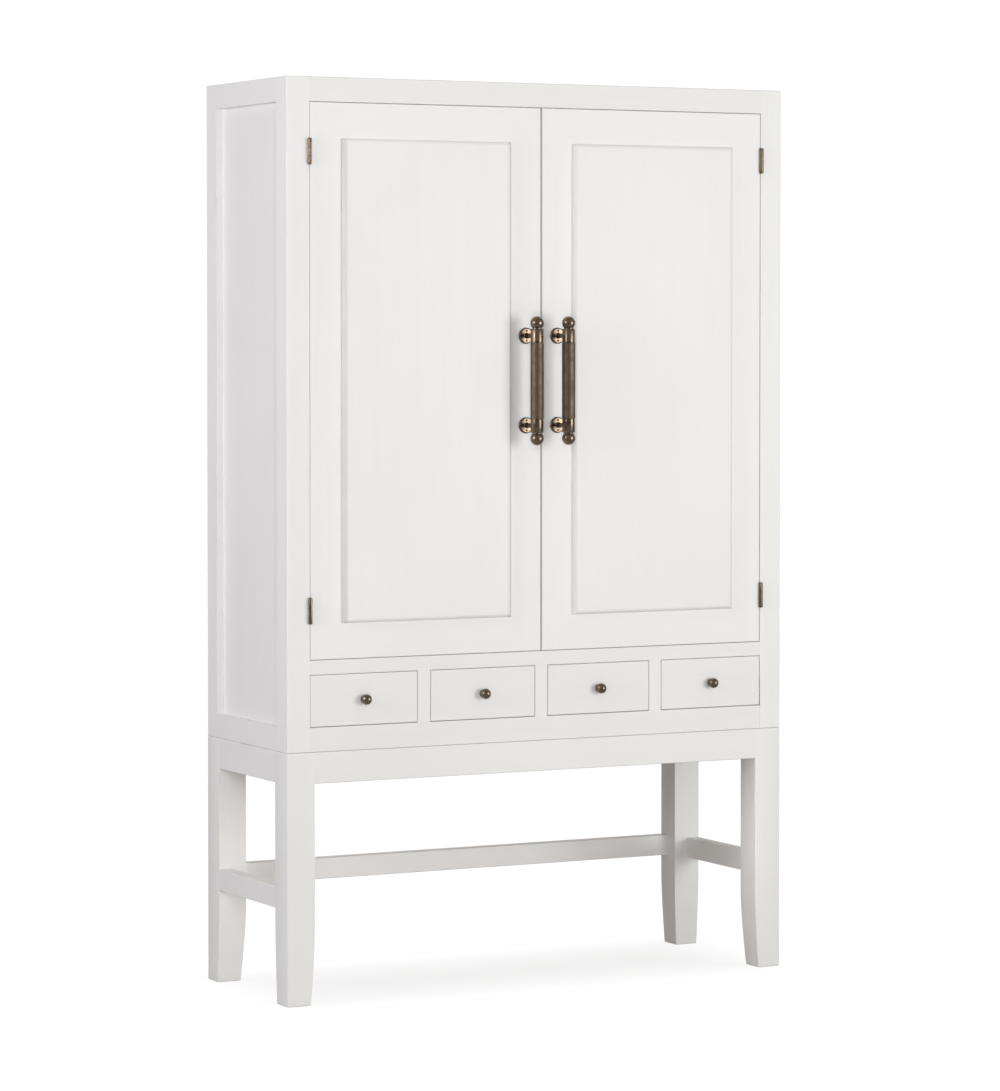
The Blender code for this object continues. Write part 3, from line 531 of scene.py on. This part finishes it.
def panel_paint(name, low, high, share):
    """Paint on a raised panel: strokes run up it, and a painted shade darkens its upright rolls."""
    material, tree, sockets = paint_coat(name, low, high, DOOR_THINNESS, Stretch=STROKE_STRETCH["Z"])
    edge = (high.x - low.x) / 2 - PANEL_TONGUE
    start, full = (edge - reach for reach in PANEL_SHADE_REACH)
    beside_edge = fade(tree, off_middle(tree, (low + high) / 2), start, full)
    clouds = noise(tree, add_node(tree, "TexCoord", {})["Object"], 25.0, 4.0)
    shade_strength = calc(tree, "MULTIPLY_ADD", clouds, 0.5 * share, 0.75 * share)
    painted_shade = calc(tree, "MULTIPLY", beside_edge, shade_strength)
    unshaded_coat = sockets["Vector"].node.outputs["Colour"]
    shader = tree.nodes["Principled BSDF"].inputs
    feed(tree, shader["Base Color"], blend_colour(tree, painted_shade, unshaded_coat, PANEL_ROLL_SHADE))
    return material


def rectangle_loops(low_x, high_x, low_z, high_z, insets, depths):
    """Rows of a rectangle's four corners, anticlockwise from the front, each row drawn in and set at
    its own depth."""
    x = np.stack((low_x + insets, high_x - insets, high_x - insets, low_x + insets), -1)
    z = np.stack((low_z + insets, low_z + insets, high_z - insets, high_z - insets), -1)
    y = np.broadcast_to(depths[:, None], x.shape)
    return np.stack((x, y, z), -1)


def panel_skin(low, high):
    """A panel from its back to its face: tongue, straight edge, then the roll, whose inset is its width
    times (1 - cos a) and whose rise is its depth times sin a."""
    tongue_far = high.y - TONGUE_COVER
    tongue_near = tongue_far - TONGUE_THICKNESS
    turn = np.linspace(0.0, np.pi / 2, ROLL_POINTS)
    roll_insets = PAINTED_SEAM + ROLL_WIDTH * (1 - np.cos(turn))
    roll_depths = low.y - ROLL_DEPTH * np.sin(turn)
    insets = np.concatenate(([-PANEL_TONGUE, -PANEL_TONGUE, PAINTED_SEAM], roll_insets))
    depths = np.concatenate(([tongue_far, tongue_near, tongue_near], roll_depths))
    sides = (
        low.x + STILE_WIDTH, high.x - STILE_WIDTH, low.z + DOOR_RAIL_HEIGHT, high.z - DOOR_RAIL_HEIGHT
    )
    return lofted(rectangle_loops(*sides, insets, depths))


for side in ("left", "right"):
    low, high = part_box(f"door_frame_{side}")
    finish_node(f"door_frame_{side}", door_paint(f"door_{side}", low, high))
    node = f"door_panel_{side}"
    make_piece(
        f"raised_panel_{side}", [panel_skin(low, high)], panel_paint(node, *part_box(node), PANEL_SHADE_SHARE[side]),
        f"door_{side}", [node], sharp=ROLL_SHARP_ANGLE,
    )

# Hinges: brass butts let into the post and the door, aged to a brown bronze. Each has three knuckles,
# rounded off at both ends of the pin, and each leaf is held by three countersunk slotted screws.
BRASS = (0.215, 0.168, 0.124, 1)
BRASS_BROWN = (0.105, 0.077, 0.055, 1)
BRASS_RELIEF = 0.00003
BRASS_ROUGHNESS = 0.16
DULL_ROUGHNESS = 0.3
PIT_ROUGHNESS = 0.1
CLOUD_ROUGHNESS = 0.12
RECESS_PATINA = 0.6
CLOUD_PATINA = 0.3
LEAF_THICKNESS = 0.0016
LEAF_ARRIS = 0.0003
KNUCKLE_RADIUS = 0.004
KNUCKLE_CHAMFER = 0.0004
KNUCKLE_CAP = 0.0018
KNUCKLE_SIDES = 32
SCREW_RADIUS = 0.0026
SCREW_SHANK = 0.001
SCREW_PROUD = 0.00003
FLAT_DOME = 0.00005
LEAF_SLOT = (0.0007, 0.0005)
HINGE_SCREWS = (0.17, 0.5, 0.83)
ROUND_SIDES = 48
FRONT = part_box("door_frame_left")[0].y


def brass_group():
    """Aged brass: brown patina in clouds and in recesses, with fine pits, rougher where it is dull."""
    tree, given, out = node_group(
        "aged_brass",
        {"Vector": "Vector", "Recess": "Float", "Dull": "Float"},
        FINISH,
    )
    clouds = fade(tree, noise(tree, given["Vector"], 60.0, 4.0, 0.6), 0.3, 0.75)
    pits = noise(tree, given["Vector"], 900.0, 2.0)
    cloud_patina = calc(tree, "MULTIPLY", clouds, CLOUD_PATINA)
    patina = calc(tree, "MULTIPLY_ADD", given["Recess"], RECESS_PATINA, cloud_patina)
    feed(tree, out["Colour"], blend_colour(tree, patina, BRASS, BRASS_BROWN))
    worn = calc(tree, "MULTIPLY_ADD", given["Dull"], DULL_ROUGHNESS, BRASS_ROUGHNESS)
    pitted = calc(tree, "MULTIPLY_ADD", pits, PIT_ROUGHNESS, worn)
    feed(tree, out["Roughness"], calc(tree, "MULTIPLY_ADD", clouds, CLOUD_ROUGHNESS, pitted))
    feed(tree, out["Height"], pits)
    return tree


AGED_BRASS = brass_group()


def brass(name, recess=0.0, marked=False):
    """Aged brass. A piece's own attributes may mark its recesses and how dull it is."""
    material, tree, sockets = coated(name, AGED_BRASS, {"Recess": recess}, BRASS_RELIEF)
    tree.nodes["Principled BSDF"].inputs["Metallic"].default_value = 1.0
    if marked:
        for socket in ("Recess", "Dull"):
            mark = add_node(tree, "Attribute", {}, attribute_name=socket.lower())
            feed(tree, sockets[socket], mark["Fac"])
    return material


def turned_loops(profile, sides=ROUND_SIDES):
    """Rows of a turned piece: (radius cos a, radius sin a, height) for each profile point and angle a."""
    angle = np.linspace(0.0, 2 * np.pi, sides, endpoint=False)
    around = np.stack((np.cos(angle), np.sin(angle)), -1)
    flat = profile[:, 0, None, None] * around
    height = np.broadcast_to(profile[:, 1, None, None], (len(profile), sides, 1))
    return np.concatenate((flat, height), -1)


def placed(skin, point, facing=(0, 0, 1)):
    """A skin turned so that its axis looks along facing, and moved to a point."""
    points, faces = skin
    turn = Vector((0, 0, 1)).rotation_difference(Vector(facing)).to_matrix()
    return points @ np.array(turn).T + np.array(point), faces


def slotted_head(radius, dome, slot_width, slot_depth, shank=SCREW_SHANK):
    """A slotted screw head: (x, v sqrt(1 - x x)) for x and v from -1 to 1, raised by its dome times
    (1 - r r), sunk by the slot's depth around x = 0, and closed by a straight skirt below."""
    slot = slot_width / 2 / radius
    edge = 0.015
    half = np.concatenate(([slot - edge], np.linspace(slot + edge, 0.99, 6)))
    x, v = np.meshgrid(np.concatenate((-half[::-1], half)), np.linspace(-1.0, 1.0, 13), indexing="ij")
    y = v * np.sqrt(1 - x * x)
    z = dome * (1 - x * x - y * y) - slot_depth * (np.abs(x) < slot)
    top = np.stack((radius * x, radius * y, z), -1).reshape(-1, 3)
    index = np.arange(x.size).reshape(x.shape)
    tiles = np.stack((index[:-1, :-1], index[1:, :-1], index[1:, 1:], index[:-1, 1:]), -1).reshape(-1, 4)
    rim = np.concatenate((index[:-1, 0], index[-1, :-1], index[:0:-1, -1], index[0, :0:-1]))
    skirt = x.size + np.arange(len(rim))
    walls = np.stack((skirt, np.roll(skirt, -1), np.roll(rim, -1), rim), -1)
    below = top[rim] * (1, 1, 0) - (0, 0, shank)
    return np.concatenate((top, below)), tiles.tolist() + walls.tolist() + [skirt[::-1].tolist()]


def knuckle_skin(bottom, top, capped):
    """A knuckle about its axis: a straight barrel, each end chamfered, or rounded off over the pin."""
    turn = np.linspace(0.0, 0.45 * np.pi, 8)
    cap = np.stack((KNUCKLE_RADIUS * np.cos(turn), KNUCKLE_CAP * (np.sin(turn) - 1)), -1)
    chamfer = np.array(((KNUCKLE_RADIUS, -KNUCKLE_CHAMFER), (KNUCKLE_RADIUS - KNUCKLE_CHAMFER, 0.0)))
    lower = cap if capped == "bottom" else chamfer
    upper = cap if capped == "top" else chamfer
    profile = np.concatenate((lower[::-1] * (1, -1) + (0, bottom), upper + (0, top)))
    return lofted(turned_loops(profile, KNUCKLE_SIDES))


def leaf_skins(face, into, foot, head, far, axis, knuckles):
    """One leaf: its plate, the barrel and web of each knuckle, and the screws sunk in its face."""
    back = face + into * LEAF_THICKNESS
    near = FRONT + SEAT_GAP
    skins = [board_skin((face, near, foot), (back, far, head), "Z", LEAF_ARRIS)]
    for bottom, top, capped in knuckles:
        skins.append(placed(knuckle_skin(bottom, top, capped), (*axis, 0)))
        web = ((face, axis[1], bottom + KNUCKLE_CAP), (back, near + LEAF_THICKNESS, top - KNUCKLE_CAP))
        skins.append(board_skin(*web, "Z", LEAF_ARRIS))
    screw = slotted_head(SCREW_RADIUS, FLAT_DOME, *LEAF_SLOT)
    for share in HINGE_SCREWS:
        seat = (face - into * SCREW_PROUD, (near + far) / 2, foot + share * (head - foot))
        skins.append(placed(screw, seat, (-into, 0, 0)))
    return skins


FITTINGS_BRASS = brass("brass_fittings")
for side, outward in (("left", -1), ("right", 1)):
    for place in ("lower", "upper"):
        post_node, door_node = (f"hinge_{holder}_leaf_{side}_{place}" for holder in ("post", "door"))
        (post_low, post_high), (door_low, door_high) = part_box(post_node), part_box(door_node)
        foot, head, far = post_low.z, post_high.z, post_high.y
        third = (head - foot) / 3
        post_back = post_high.x if outward > 0 else post_low.x
        door_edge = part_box(f"door_frame_{side}")[outward > 0].x
        post_face = post_back - outward * LEAF_THICKNESS
        axis = ((post_face + door_edge) / 2, post_low.y + KNUCKLE_RADIUS)
        outer = ((foot, foot + third - SEAT_GAP, "bottom"), (head - third + SEAT_GAP, head, "top"))
        inner = ((foot + third, head - third, None),)
        leaves = (
            (post_node, "cabinet", post_face, outward, outer),
            (door_node, f"door_{side}", door_edge, -outward, inner),
        )
        for node, body, face, into, knuckles in leaves:
            skins = leaf_skins(face, into, foot, head, far, axis, knuckles)
            make_piece(f"fine_{node}", skins, FITTINGS_BRASS, body, [node])

# Door handles: a turned brass bar with a knurled grip, plain collars and ball ends, on two posts.
# Each post stands on a domed rose held by two slotted screws.
GRIP_LENGTH = 0.162
GRIP_RADIUS = 0.0142
COLLAR_LENGTH = 0.030
COLLAR_RADIUS = 0.0136
COLLAR_RIM = 0.0014
COLLAR_GROOVE = 0.0007
COLLAR_RIM_BEND = 0.35
NECK_RADIUS = 0.010
NECK_FOOT = 0.0004
NECK_LENGTH = 0.002
BALL_RADIUS = 0.0144
BALL_TOP = 88.0
HANDLE_SIDES = 160
GRIP_ROWS = 156
KNURLS_AROUND = 40
KNURLS_ALONG = 78
KNURL_DEPTH = 0.00028
KNURL_TOP = 0.45
POST_RADIUS = 0.005
POST_FLARE = 0.0025
ROSE_RADIUS = 0.0175
ROSE_THICKNESS = 0.0045
ROSE_EDGE = 0.0015
ROSE_SHOULDER = 0.0035
ROSE_BORE = 0.003
ROSE_SCREW_OFFSET = 0.0107
ROSE_SCREW_DOME = 0.0008
ROSE_SLOT = (0.0008, 0.0007)


def arc(radius, centre, first, last, count):
    """Points (distance from the axis, height) of a ball's side, by the angle up from its equator."""
    angle = np.radians(np.linspace(first, last, count))
    return np.stack((radius * np.cos(angle), centre + radius * np.sin(angle)), -1)


def bar_profile():
    """The bar from its foot up: ball, neck, collar, groove, grip, and the same again the other way."""
    grip_end = GRIP_LENGTH / 2
    collar_end = grip_end + COLLAR_LENGTH
    rise = math.degrees(math.acos(NECK_RADIUS / BALL_RADIUS))
    ball_centre = collar_end + NECK_LENGTH + BALL_RADIUS * math.sin(math.radians(rise))
    grip_heights = np.linspace(0.0, grip_end, GRIP_ROWS)
    shoulders = [
        (COLLAR_RADIUS - COLLAR_GROOVE, grip_end + COLLAR_GROOVE),
        (COLLAR_RADIUS - COLLAR_GROOVE, grip_end + 2 * COLLAR_GROOVE),
        (COLLAR_RADIUS, grip_end + 3 * COLLAR_GROOVE), (COLLAR_RADIUS, collar_end - COLLAR_RIM),
        (COLLAR_RADIUS - COLLAR_RIM_BEND * COLLAR_RIM, collar_end - COLLAR_RIM_BEND * COLLAR_RIM),
        (COLLAR_RADIUS - COLLAR_RIM, collar_end), (NECK_RADIUS, collar_end + NECK_FOOT),
    ]
    half = np.concatenate((
        np.stack((np.full(GRIP_ROWS, GRIP_RADIUS), grip_heights), -1), shoulders,
        arc(BALL_RADIUS, ball_centre, -rise, BALL_TOP, 28),
    ))
    return np.concatenate((half[:0:-1] * (1, -1), half))


def triangle_wave(phase):
    """A wave from 0 to 1 and back for each whole step of phase."""
    return 1 - np.abs(2 * (phase % 1.0) - 1)


def knurled_bar():
    """The bar's rows, its grip knurled: two sets of grooves wind round it in opposite ways, and the
    ground between them keeps flat tops. Gives the rows, how deep each point lies from 0 to 1, and where
    the grip is."""
    loops = turned_loops(bar_profile(), HANDLE_SIDES)
    around = np.linspace(0.0, KNURLS_AROUND, HANDLE_SIDES, endpoint=False)
    height = loops[:, :1, 2]
    along = height / GRIP_LENGTH * KNURLS_ALONG
    ridge = np.minimum(triangle_wave(around + along), triangle_wave(around - along))
    on_grip = np.abs(height) < GRIP_LENGTH / 2 - 0.0005
    depth = np.clip(1 - ridge / (1 - KNURL_TOP), 0.0, 1.0) * on_grip
    loops[:, :, :2] *= 1 - (KNURL_DEPTH / GRIP_RADIUS * depth)[:, :, None]
    return loops, depth, np.broadcast_to(on_grip, depth.shape)


def rose_profile():
    """A rose from its seat up to the foot of its post: a thin edge and a quarter-ellipse shoulder."""
    turn = np.linspace(0.0, np.pi / 2, 9)
    radius = ROSE_RADIUS - ROSE_SHOULDER * (1 - np.cos(turn))
    height = ROSE_EDGE + (ROSE_THICKNESS - ROSE_EDGE) * np.sin(turn)
    shoulder = np.stack((radius, height), -1)
    return np.concatenate(([(ROSE_RADIUS, SEAT_GAP)], shoulder, [(ROSE_BORE, ROSE_THICKNESS)]))


def post_profile(length):
    """A post from its rose to its bar: a straight rod that flares in a hollow at its foot."""
    turn = np.linspace(0.0, np.pi / 2, 6)
    radius = POST_RADIUS + POST_FLARE * (1 - np.sin(turn))
    height = ROSE_THICKNESS - 0.0002 + POST_FLARE * (1 - np.cos(turn))
    return np.concatenate((np.stack((radius, height), -1), [(POST_RADIUS, length)]))


HANDLE_BRASS = brass("brass_handle", marked=True)
# Screw heads are browned almost all over: patina, with painted shade for their shadowed slots.
SHADED_SCREW_BRASS = brass("brass_screws", 0.9)
for side in ("left", "right"):
    node = f"door_handle_{side}"
    body = f"door_{side}"
    low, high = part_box(node)
    middle = (low + high) / 2
    bar_y = low.y + BALL_RADIUS
    loops, depth, on_grip = knurled_bar()
    post_rise = (GRIP_LENGTH + COLLAR_LENGTH) / 2
    feet = [Vector((middle.x, FRONT, middle.z + end * post_rise)) for end in (-1, 1)]
    post = lofted(turned_loops(post_profile(FRONT - bar_y)))
    rose = lofted(turned_loops(rose_profile()))
    screw = slotted_head(SCREW_RADIUS, ROSE_SCREW_DOME, *ROSE_SLOT)
    skins = [placed(lofted(loops), (middle.x, bar_y, middle.z))]
    skins += [placed(post, foot, (0, -1, 0)) for foot in feet]
    bar = make_piece(f"knurled_bar_{side}", skins, HANDLE_BRASS, body, [node])
    for mark, values in (("recess", depth), ("dull", on_grip)):
        marks = np.zeros(len(bar.data.vertices), np.float32)
        marks[:values.size] = values.ravel()
        bar.data.attributes.new(mark, "FLOAT", "POINT").data.foreach_set("value", marks)
    make_piece(
        f"handle_roses_{side}", [placed(rose, foot, (0, -1, 0)) for foot in feet],
        FITTINGS_BRASS, body, [node],
    )
    seats = [
        foot + Vector((0, -ROSE_THICKNESS, way * ROSE_SCREW_OFFSET)) for foot in feet for way in (-1, 1)
    ]
    make_piece(
        f"rose_screws_{side}", [placed(screw, seat, (0, -1, 0)) for seat in seats],
        SHADED_SCREW_BRASS, body, [node],
    )

# Ball catches: a brass plate with a sprung ball on top of each door, and a strike under the top rail.
# Both plates are screwed on, and stay hidden until a door is open.
CATCH_FROM_EDGE = 0.055
CATCH_HALF_LENGTH = 0.017
CATCH_HALF_WIDTH = 0.0055
CATCH_THICKNESS = 0.0002
CATCH_ARRIS = 0.00005
CATCH_BALL_RADIUS = 0.0032
CATCH_BALL_PROUD = 0.0001
CATCH_SCREW_OFFSET = 0.0115
CATCH_SCREW_RADIUS = 0.0021
CATCH_SLOT = (0.0006, 0.0003)
CATCH_SHANK = 0.0005


def plate_skins(x, y, level, up):
    """A screwed plate lying level, its face looking up or down."""
    size = Vector((CATCH_HALF_LENGTH, CATCH_HALF_WIDTH, 0))
    foot = Vector((x, y, level))
    screw = slotted_head(CATCH_SCREW_RADIUS, FLAT_DOME, *CATCH_SLOT, CATCH_SHANK)
    face = Vector((0, 0, up * CATCH_THICKNESS))
    skins = [board_skin(foot - size, foot + size + face, "X", CATCH_ARRIS)]
    for way in (-1, 1):
        seat = (x + way * CATCH_SCREW_OFFSET, y, level + up * (CATCH_THICKNESS + SCREW_PROUD))
        skins.append(placed(screw, seat, (0, 0, up)))
    return skins


for side, outward in (("left", -1), ("right", 1)):
    low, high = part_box(f"door_frame_{side}")
    catch_x = (low.x if outward > 0 else high.x) + outward * CATCH_FROM_EDGE
    catch_y = (low.y + high.y) / 2
    ball_top = high.z + CATCH_THICKNESS + CATCH_BALL_PROUD
    dome = arc(CATCH_BALL_RADIUS, ball_top - CATCH_BALL_RADIUS, 20.0, BALL_TOP, 16)
    ball = placed(lofted(turned_loops(dome, 32)), (catch_x, catch_y, 0))
    skins = [*plate_skins(catch_x, catch_y, high.z, 1), ball]
    make_piece(f"ball_catch_{side}", skins, FITTINGS_BRASS, f"door_{side}")
    rail_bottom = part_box("top_rail_front")[0].z
    strike = plate_skins(catch_x, catch_y, rail_bottom, -1)
    make_piece(f"catch_strike_{side}", strike, FITTINGS_BRASS, "cabinet")

# Drawers: a painted front with a turned brass knob, screwed to an open box of waxed boards.
# The box's sides run along the drawer, and its back, inner front and bottom run across it.
# The knob's bolt shows inside, on a washer.
BOARD_ARRIS = 0.0008
DRAWER_WALL = 0.010
DRAWER_BOTTOM = 0.006
KNOB_BALL_RADIUS = 0.0112
KNOB_STEM_RADIUS = 0.0065
KNOB_STEM_LENGTH = 0.001
KNOB_STEM_FLARE = 0.0008
KNOB_STEM_HOLLOW = 0.0002
KNOB_BASE_RADIUS = 0.009
KNOB_BASE_THICKNESS = 0.002
BOLT_RADIUS = 0.0042
BOLT_DOME = 0.0013
BOLT_SLOT = (0.0011, 0.001)
BOLT_EDGE = 0.0004
WASHER_RADIUS = 0.0065
WASHER_THICKNESS = 0.0008


def knob_profile():
    """A knob from its seat out: a round base, a short hollowed neck and a ball."""
    ball_foot = KNOB_BASE_THICKNESS + KNOB_STEM_LENGTH
    drop = math.degrees(math.acos(KNOB_STEM_RADIUS / KNOB_BALL_RADIUS))
    centre = ball_foot + KNOB_BALL_RADIUS * math.sin(math.radians(drop))
    share = np.linspace(0.0, 1.0, 9)[:-1]
    hollow = KNOB_STEM_HOLLOW * np.sin(np.pi * share)
    stem_radius = KNOB_STEM_RADIUS + KNOB_STEM_FLARE * (1 - share) ** 3 - hollow
    stem = np.stack((stem_radius, KNOB_BASE_THICKNESS + share * KNOB_STEM_LENGTH), -1)
    base = [
        (KNOB_BASE_RADIUS, SEAT_GAP), (KNOB_BASE_RADIUS, 0.001), (KNOB_BASE_RADIUS - 0.0003, 0.0016),
        (KNOB_BASE_RADIUS - 0.0009, 0.0019),
    ]
    return np.concatenate((base, stem, arc(KNOB_BALL_RADIUS, centre, -drop, BALL_TOP, 24)))


def washer_profile():
    """A washer's edge from the wood up, with its upper arris broken."""
    rim = WASHER_THICKNESS * 0.4
    return np.array((
        (WASHER_RADIUS, 0.0), (WASHER_RADIUS, WASHER_THICKNESS - rim),
        (WASHER_RADIUS - rim, WASHER_THICKNESS), (BOLT_RADIUS * 0.6, WASHER_THICKNESS),
    ))


for number in range(1, 5):
    body = f"drawer_{number}"
    node = f"drawer_front_{number}"
    low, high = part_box(node)
    finish_node(node, paint(node, low, high, "X"))
    knob_x, knob_z = (low.x + high.x) / 2, (low.z + high.z) / 2
    knob = placed(lofted(turned_loops(knob_profile())), (knob_x, low.y, knob_z), (0, -1, 0))
    make_piece(
        f"turned_knob_{number}", [knob], FITTINGS_BRASS, body, [f"drawer_knob_{number}"]
    )
    low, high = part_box(f"drawer_box_{number}")
    inner_left, inner_right = low.x + DRAWER_WALL, high.x - DRAWER_WALL
    inner_near, inner_far = low.y + DRAWER_WALL, high.y - DRAWER_WALL
    floor_top = low.z + DRAWER_BOTTOM
    boards = {
        "side_left": ((low.x, low.y, low.z), (inner_left, high.y, high.z), "Y"),
        "side_right": ((inner_right, low.y, low.z), (high.x, high.y, high.z), "Y"),
        "inner_front": ((inner_left, low.y, low.z), (inner_right, inner_near, high.z), "X"),
        "back": ((inner_left, inner_far, low.z), (inner_right, high.y, high.z), "X"),
        "bottom": ((inner_left, inner_near, low.z), (inner_right, inner_far, floor_top), "X"),
    }
    for place, (board_low, board_high, along) in boards.items():
        name = f"drawer_{number}_{place}"
        make_piece(
            name, [board_skin(board_low, board_high, along, BOARD_ARRIS)],
            wood(name, board_low, board_high, along), body, [f"drawer_box_{number}"],
        )
    washer = placed(lofted(turned_loops(washer_profile())), (knob_x, inner_near, knob_z), (0, 1, 0))
    head = slotted_head(BOLT_RADIUS, BOLT_DOME, *BOLT_SLOT, BOLT_EDGE)
    bolt = placed(head, (knob_x, inner_near + WASHER_THICKNESS + BOLT_EDGE, knob_z), (0, 1, 0))
    make_piece(f"knob_bolt_{number}", [washer, bolt], FITTINGS_BRASS, body)

# Studio: a broad soft light at the front right and a cooler one at the far left, which the brass shows as
# streaks. Weaker ones stand beside the camera, overhead, behind and to the right, and a small one lights
# the stand. The floor glows white to the camera, with a soft shadow under the stand painted into its glow.
AIM = (0.0, -0.18, 1.15)
WARM_LIGHT = (1.0, 0.997, 0.99)
COOL_LIGHT = (0.955, 0.935, 1.0)
FLOOR_HALF = 30.0
FLOOR_DROP = 0.0004
FLOOR_BOUNCE = (0.5, 0.488, 0.472, 1)
FLOOR_SEEN = (0.06, 0.06, 0.06, 1)
SHADOW_MIDDLE = (0.0, 0.035, 0.0)
SHADOW_HALF = (0.62, 0.25, 1.0)
SHADOW_INSIDE = -0.25
SHADOW_OUTSIDE = 0.2
SHADOW_GLOW = 0.82
AMBIENT = (1.0, 0.94, 0.86, 1)
AMBIENT_STRENGTH = 0.19
AMBIENT_IN_BRASS = 0.23
BACKDROP_STRENGTH = 1.05
WHITE = (1, 1, 1, 1)


def softbox(name, place, size, power, colour, in_brass=False, aim=AIM, spread=180.0):
    """A rectangular area light at a place, looking at an aim. The brass may be kept from showing it."""
    light = bpy.data.lights.new(name, "AREA")
    light.shape = "RECTANGLE"
    light.size, light.size_y = size
    light.energy = power
    light.color = colour
    light.spread = math.radians(spread)
    lamp = bpy.data.objects.new(name, light)
    lamp.location = place
    lamp.rotation_euler = (Vector(aim) - Vector(place)).to_track_quat("-Z", "Y").to_euler()
    lamp.visible_glossy = in_brass
    lamp.visible_camera = False
    bpy.context.scene.collection.objects.link(lamp)


softbox("key_light", (2.722, -4.371, 1.325), (2.5, 2.5), 107.0, WARM_LIGHT, in_brass=True)
softbox("side_light", (-3.3, -0.45, 1.85), (1.8, 1.6), 53.0, COOL_LIGHT, in_brass=True)
softbox("fill_light", (-1.877, -3.71, 1.29), (0.8, 2.4), 44.0, WARM_LIGHT)
softbox("overhead_light", (-0.3, -1.1, 3.9), (2.4, 1.2), 15.0, WARM_LIGHT)
softbox(
    "leg_light", (-0.95, -0.4, 0.42), (0.15, 0.3), 0.055, WARM_LIGHT, aim=(0.53, -0.18, 0.28), spread=18.0
)
softbox("back_light", (1.0, 3.4, 2.2), (2.0, 2.0), 18.0, WARM_LIGHT, aim=(0.0, 0.2, 1.4), spread=70.0)
softbox("right_light", (3.4, 0.6, 1.6), (1.6, 1.6), 6.0, WARM_LIGHT, aim=(0.6, 0.0, 1.4), spread=70.0)

world = bpy.data.worlds.new("studio")
bpy.context.scene.world = world
world.use_nodes = True
tree = world.node_tree
tree.nodes.clear()
rays = add_node(tree, "LightPath", {})
strength = calc(tree, "MULTIPLY_ADD", rays["Is Glossy Ray"], AMBIENT_IN_BRASS, AMBIENT_STRENGTH)
ambient = add_node(tree, "Background", {"Color": AMBIENT, "Strength": strength})[0]
backdrop = add_node(tree, "Background", {"Color": WHITE, "Strength": BACKDROP_STRENGTH})[0]
seen = add_node(tree, "MixShader", {0: rays["Is Camera Ray"], 1: ambient, 2: backdrop})[0]
add_node(tree, "OutputWorld", {"Surface": seen})

floor_mesh = bpy.data.meshes.new("studio_floor")
corners = np.array([(-1, -1), (1, -1), (1, 1), (-1, 1)]) * FLOOR_HALF
floor_mesh.from_pydata(np.column_stack((corners, np.full(4, -FLOOR_DROP))), [], [(0, 1, 2, 3)])
studio_floor = bpy.data.objects.new("studio_floor", floor_mesh)
bpy.context.scene.collection.objects.link(studio_floor)
material, tree, shader = new_material("pale_floor")
floor_mesh.materials.append(material)
shader["Roughness"].default_value = 0.9
shader["Emission Color"].default_value = WHITE
seen = add_node(tree, "LightPath", {})["Is Camera Ray"]
feed(tree, shader["Base Color"], blend_colour(tree, seen, FLOOR_BOUNCE, FLOOR_SEEN))
# Painted shadow: the floor's glow dims over the stand's footprint and fades out beyond it.
place = add_node(tree, "TexCoord", {})["Object"]
from_middle = vector_calc(tree, "ABSOLUTE", vector_calc(tree, "SUBTRACT", place, SHADOW_MIDDLE))
beyond = vector_calc(tree, "SUBTRACT", from_middle, SHADOW_HALF)
x, y = add_node(tree, "SeparateXYZ", {0: beyond})[:2]
inside = calc(tree, "MINIMUM", calc(tree, "MAXIMUM", x, y), 0.0)
reach = vector_calc(tree, "MAXIMUM", beyond, (0.0, 0.0, 0.0))
outside = add_node(tree, "VectorMath", {0: reach}, operation="LENGTH")["Value"]
from_edge = calc(tree, "ADD", inside, outside)
glow = fade(tree, from_edge, SHADOW_INSIDE, SHADOW_OUTSIDE, SHADOW_GLOW)
feed(tree, shader["Emission Strength"], calc(tree, "MULTIPLY", seen, glow))

# Camera: a long lens to the front left of the cabinet, a little above the middle of its doors.
# Its frame is shifted down, so that the uprights stay nearly parallel.
CAMERA_PLACE = (-4.0571, -7.8071, 1.4283)
CAMERA_TILT = 88.271
CAMERA_YAW = -27.409
LENS_LENGTH = 132.71
LENS_SHIFT = -0.0917
lens = bpy.data.cameras.new("camera")
lens.lens = LENS_LENGTH
lens.shift_y = LENS_SHIFT
camera = bpy.data.objects.new("camera", lens)
camera.location = CAMERA_PLACE
camera.rotation_euler = (math.radians(CAMERA_TILT), 0.0, math.radians(CAMERA_YAW))
bpy.context.scene.collection.objects.link(camera)
bpy.context.scene.camera = camera
bpy.context.scene.view_settings.view_transform = "Standard"
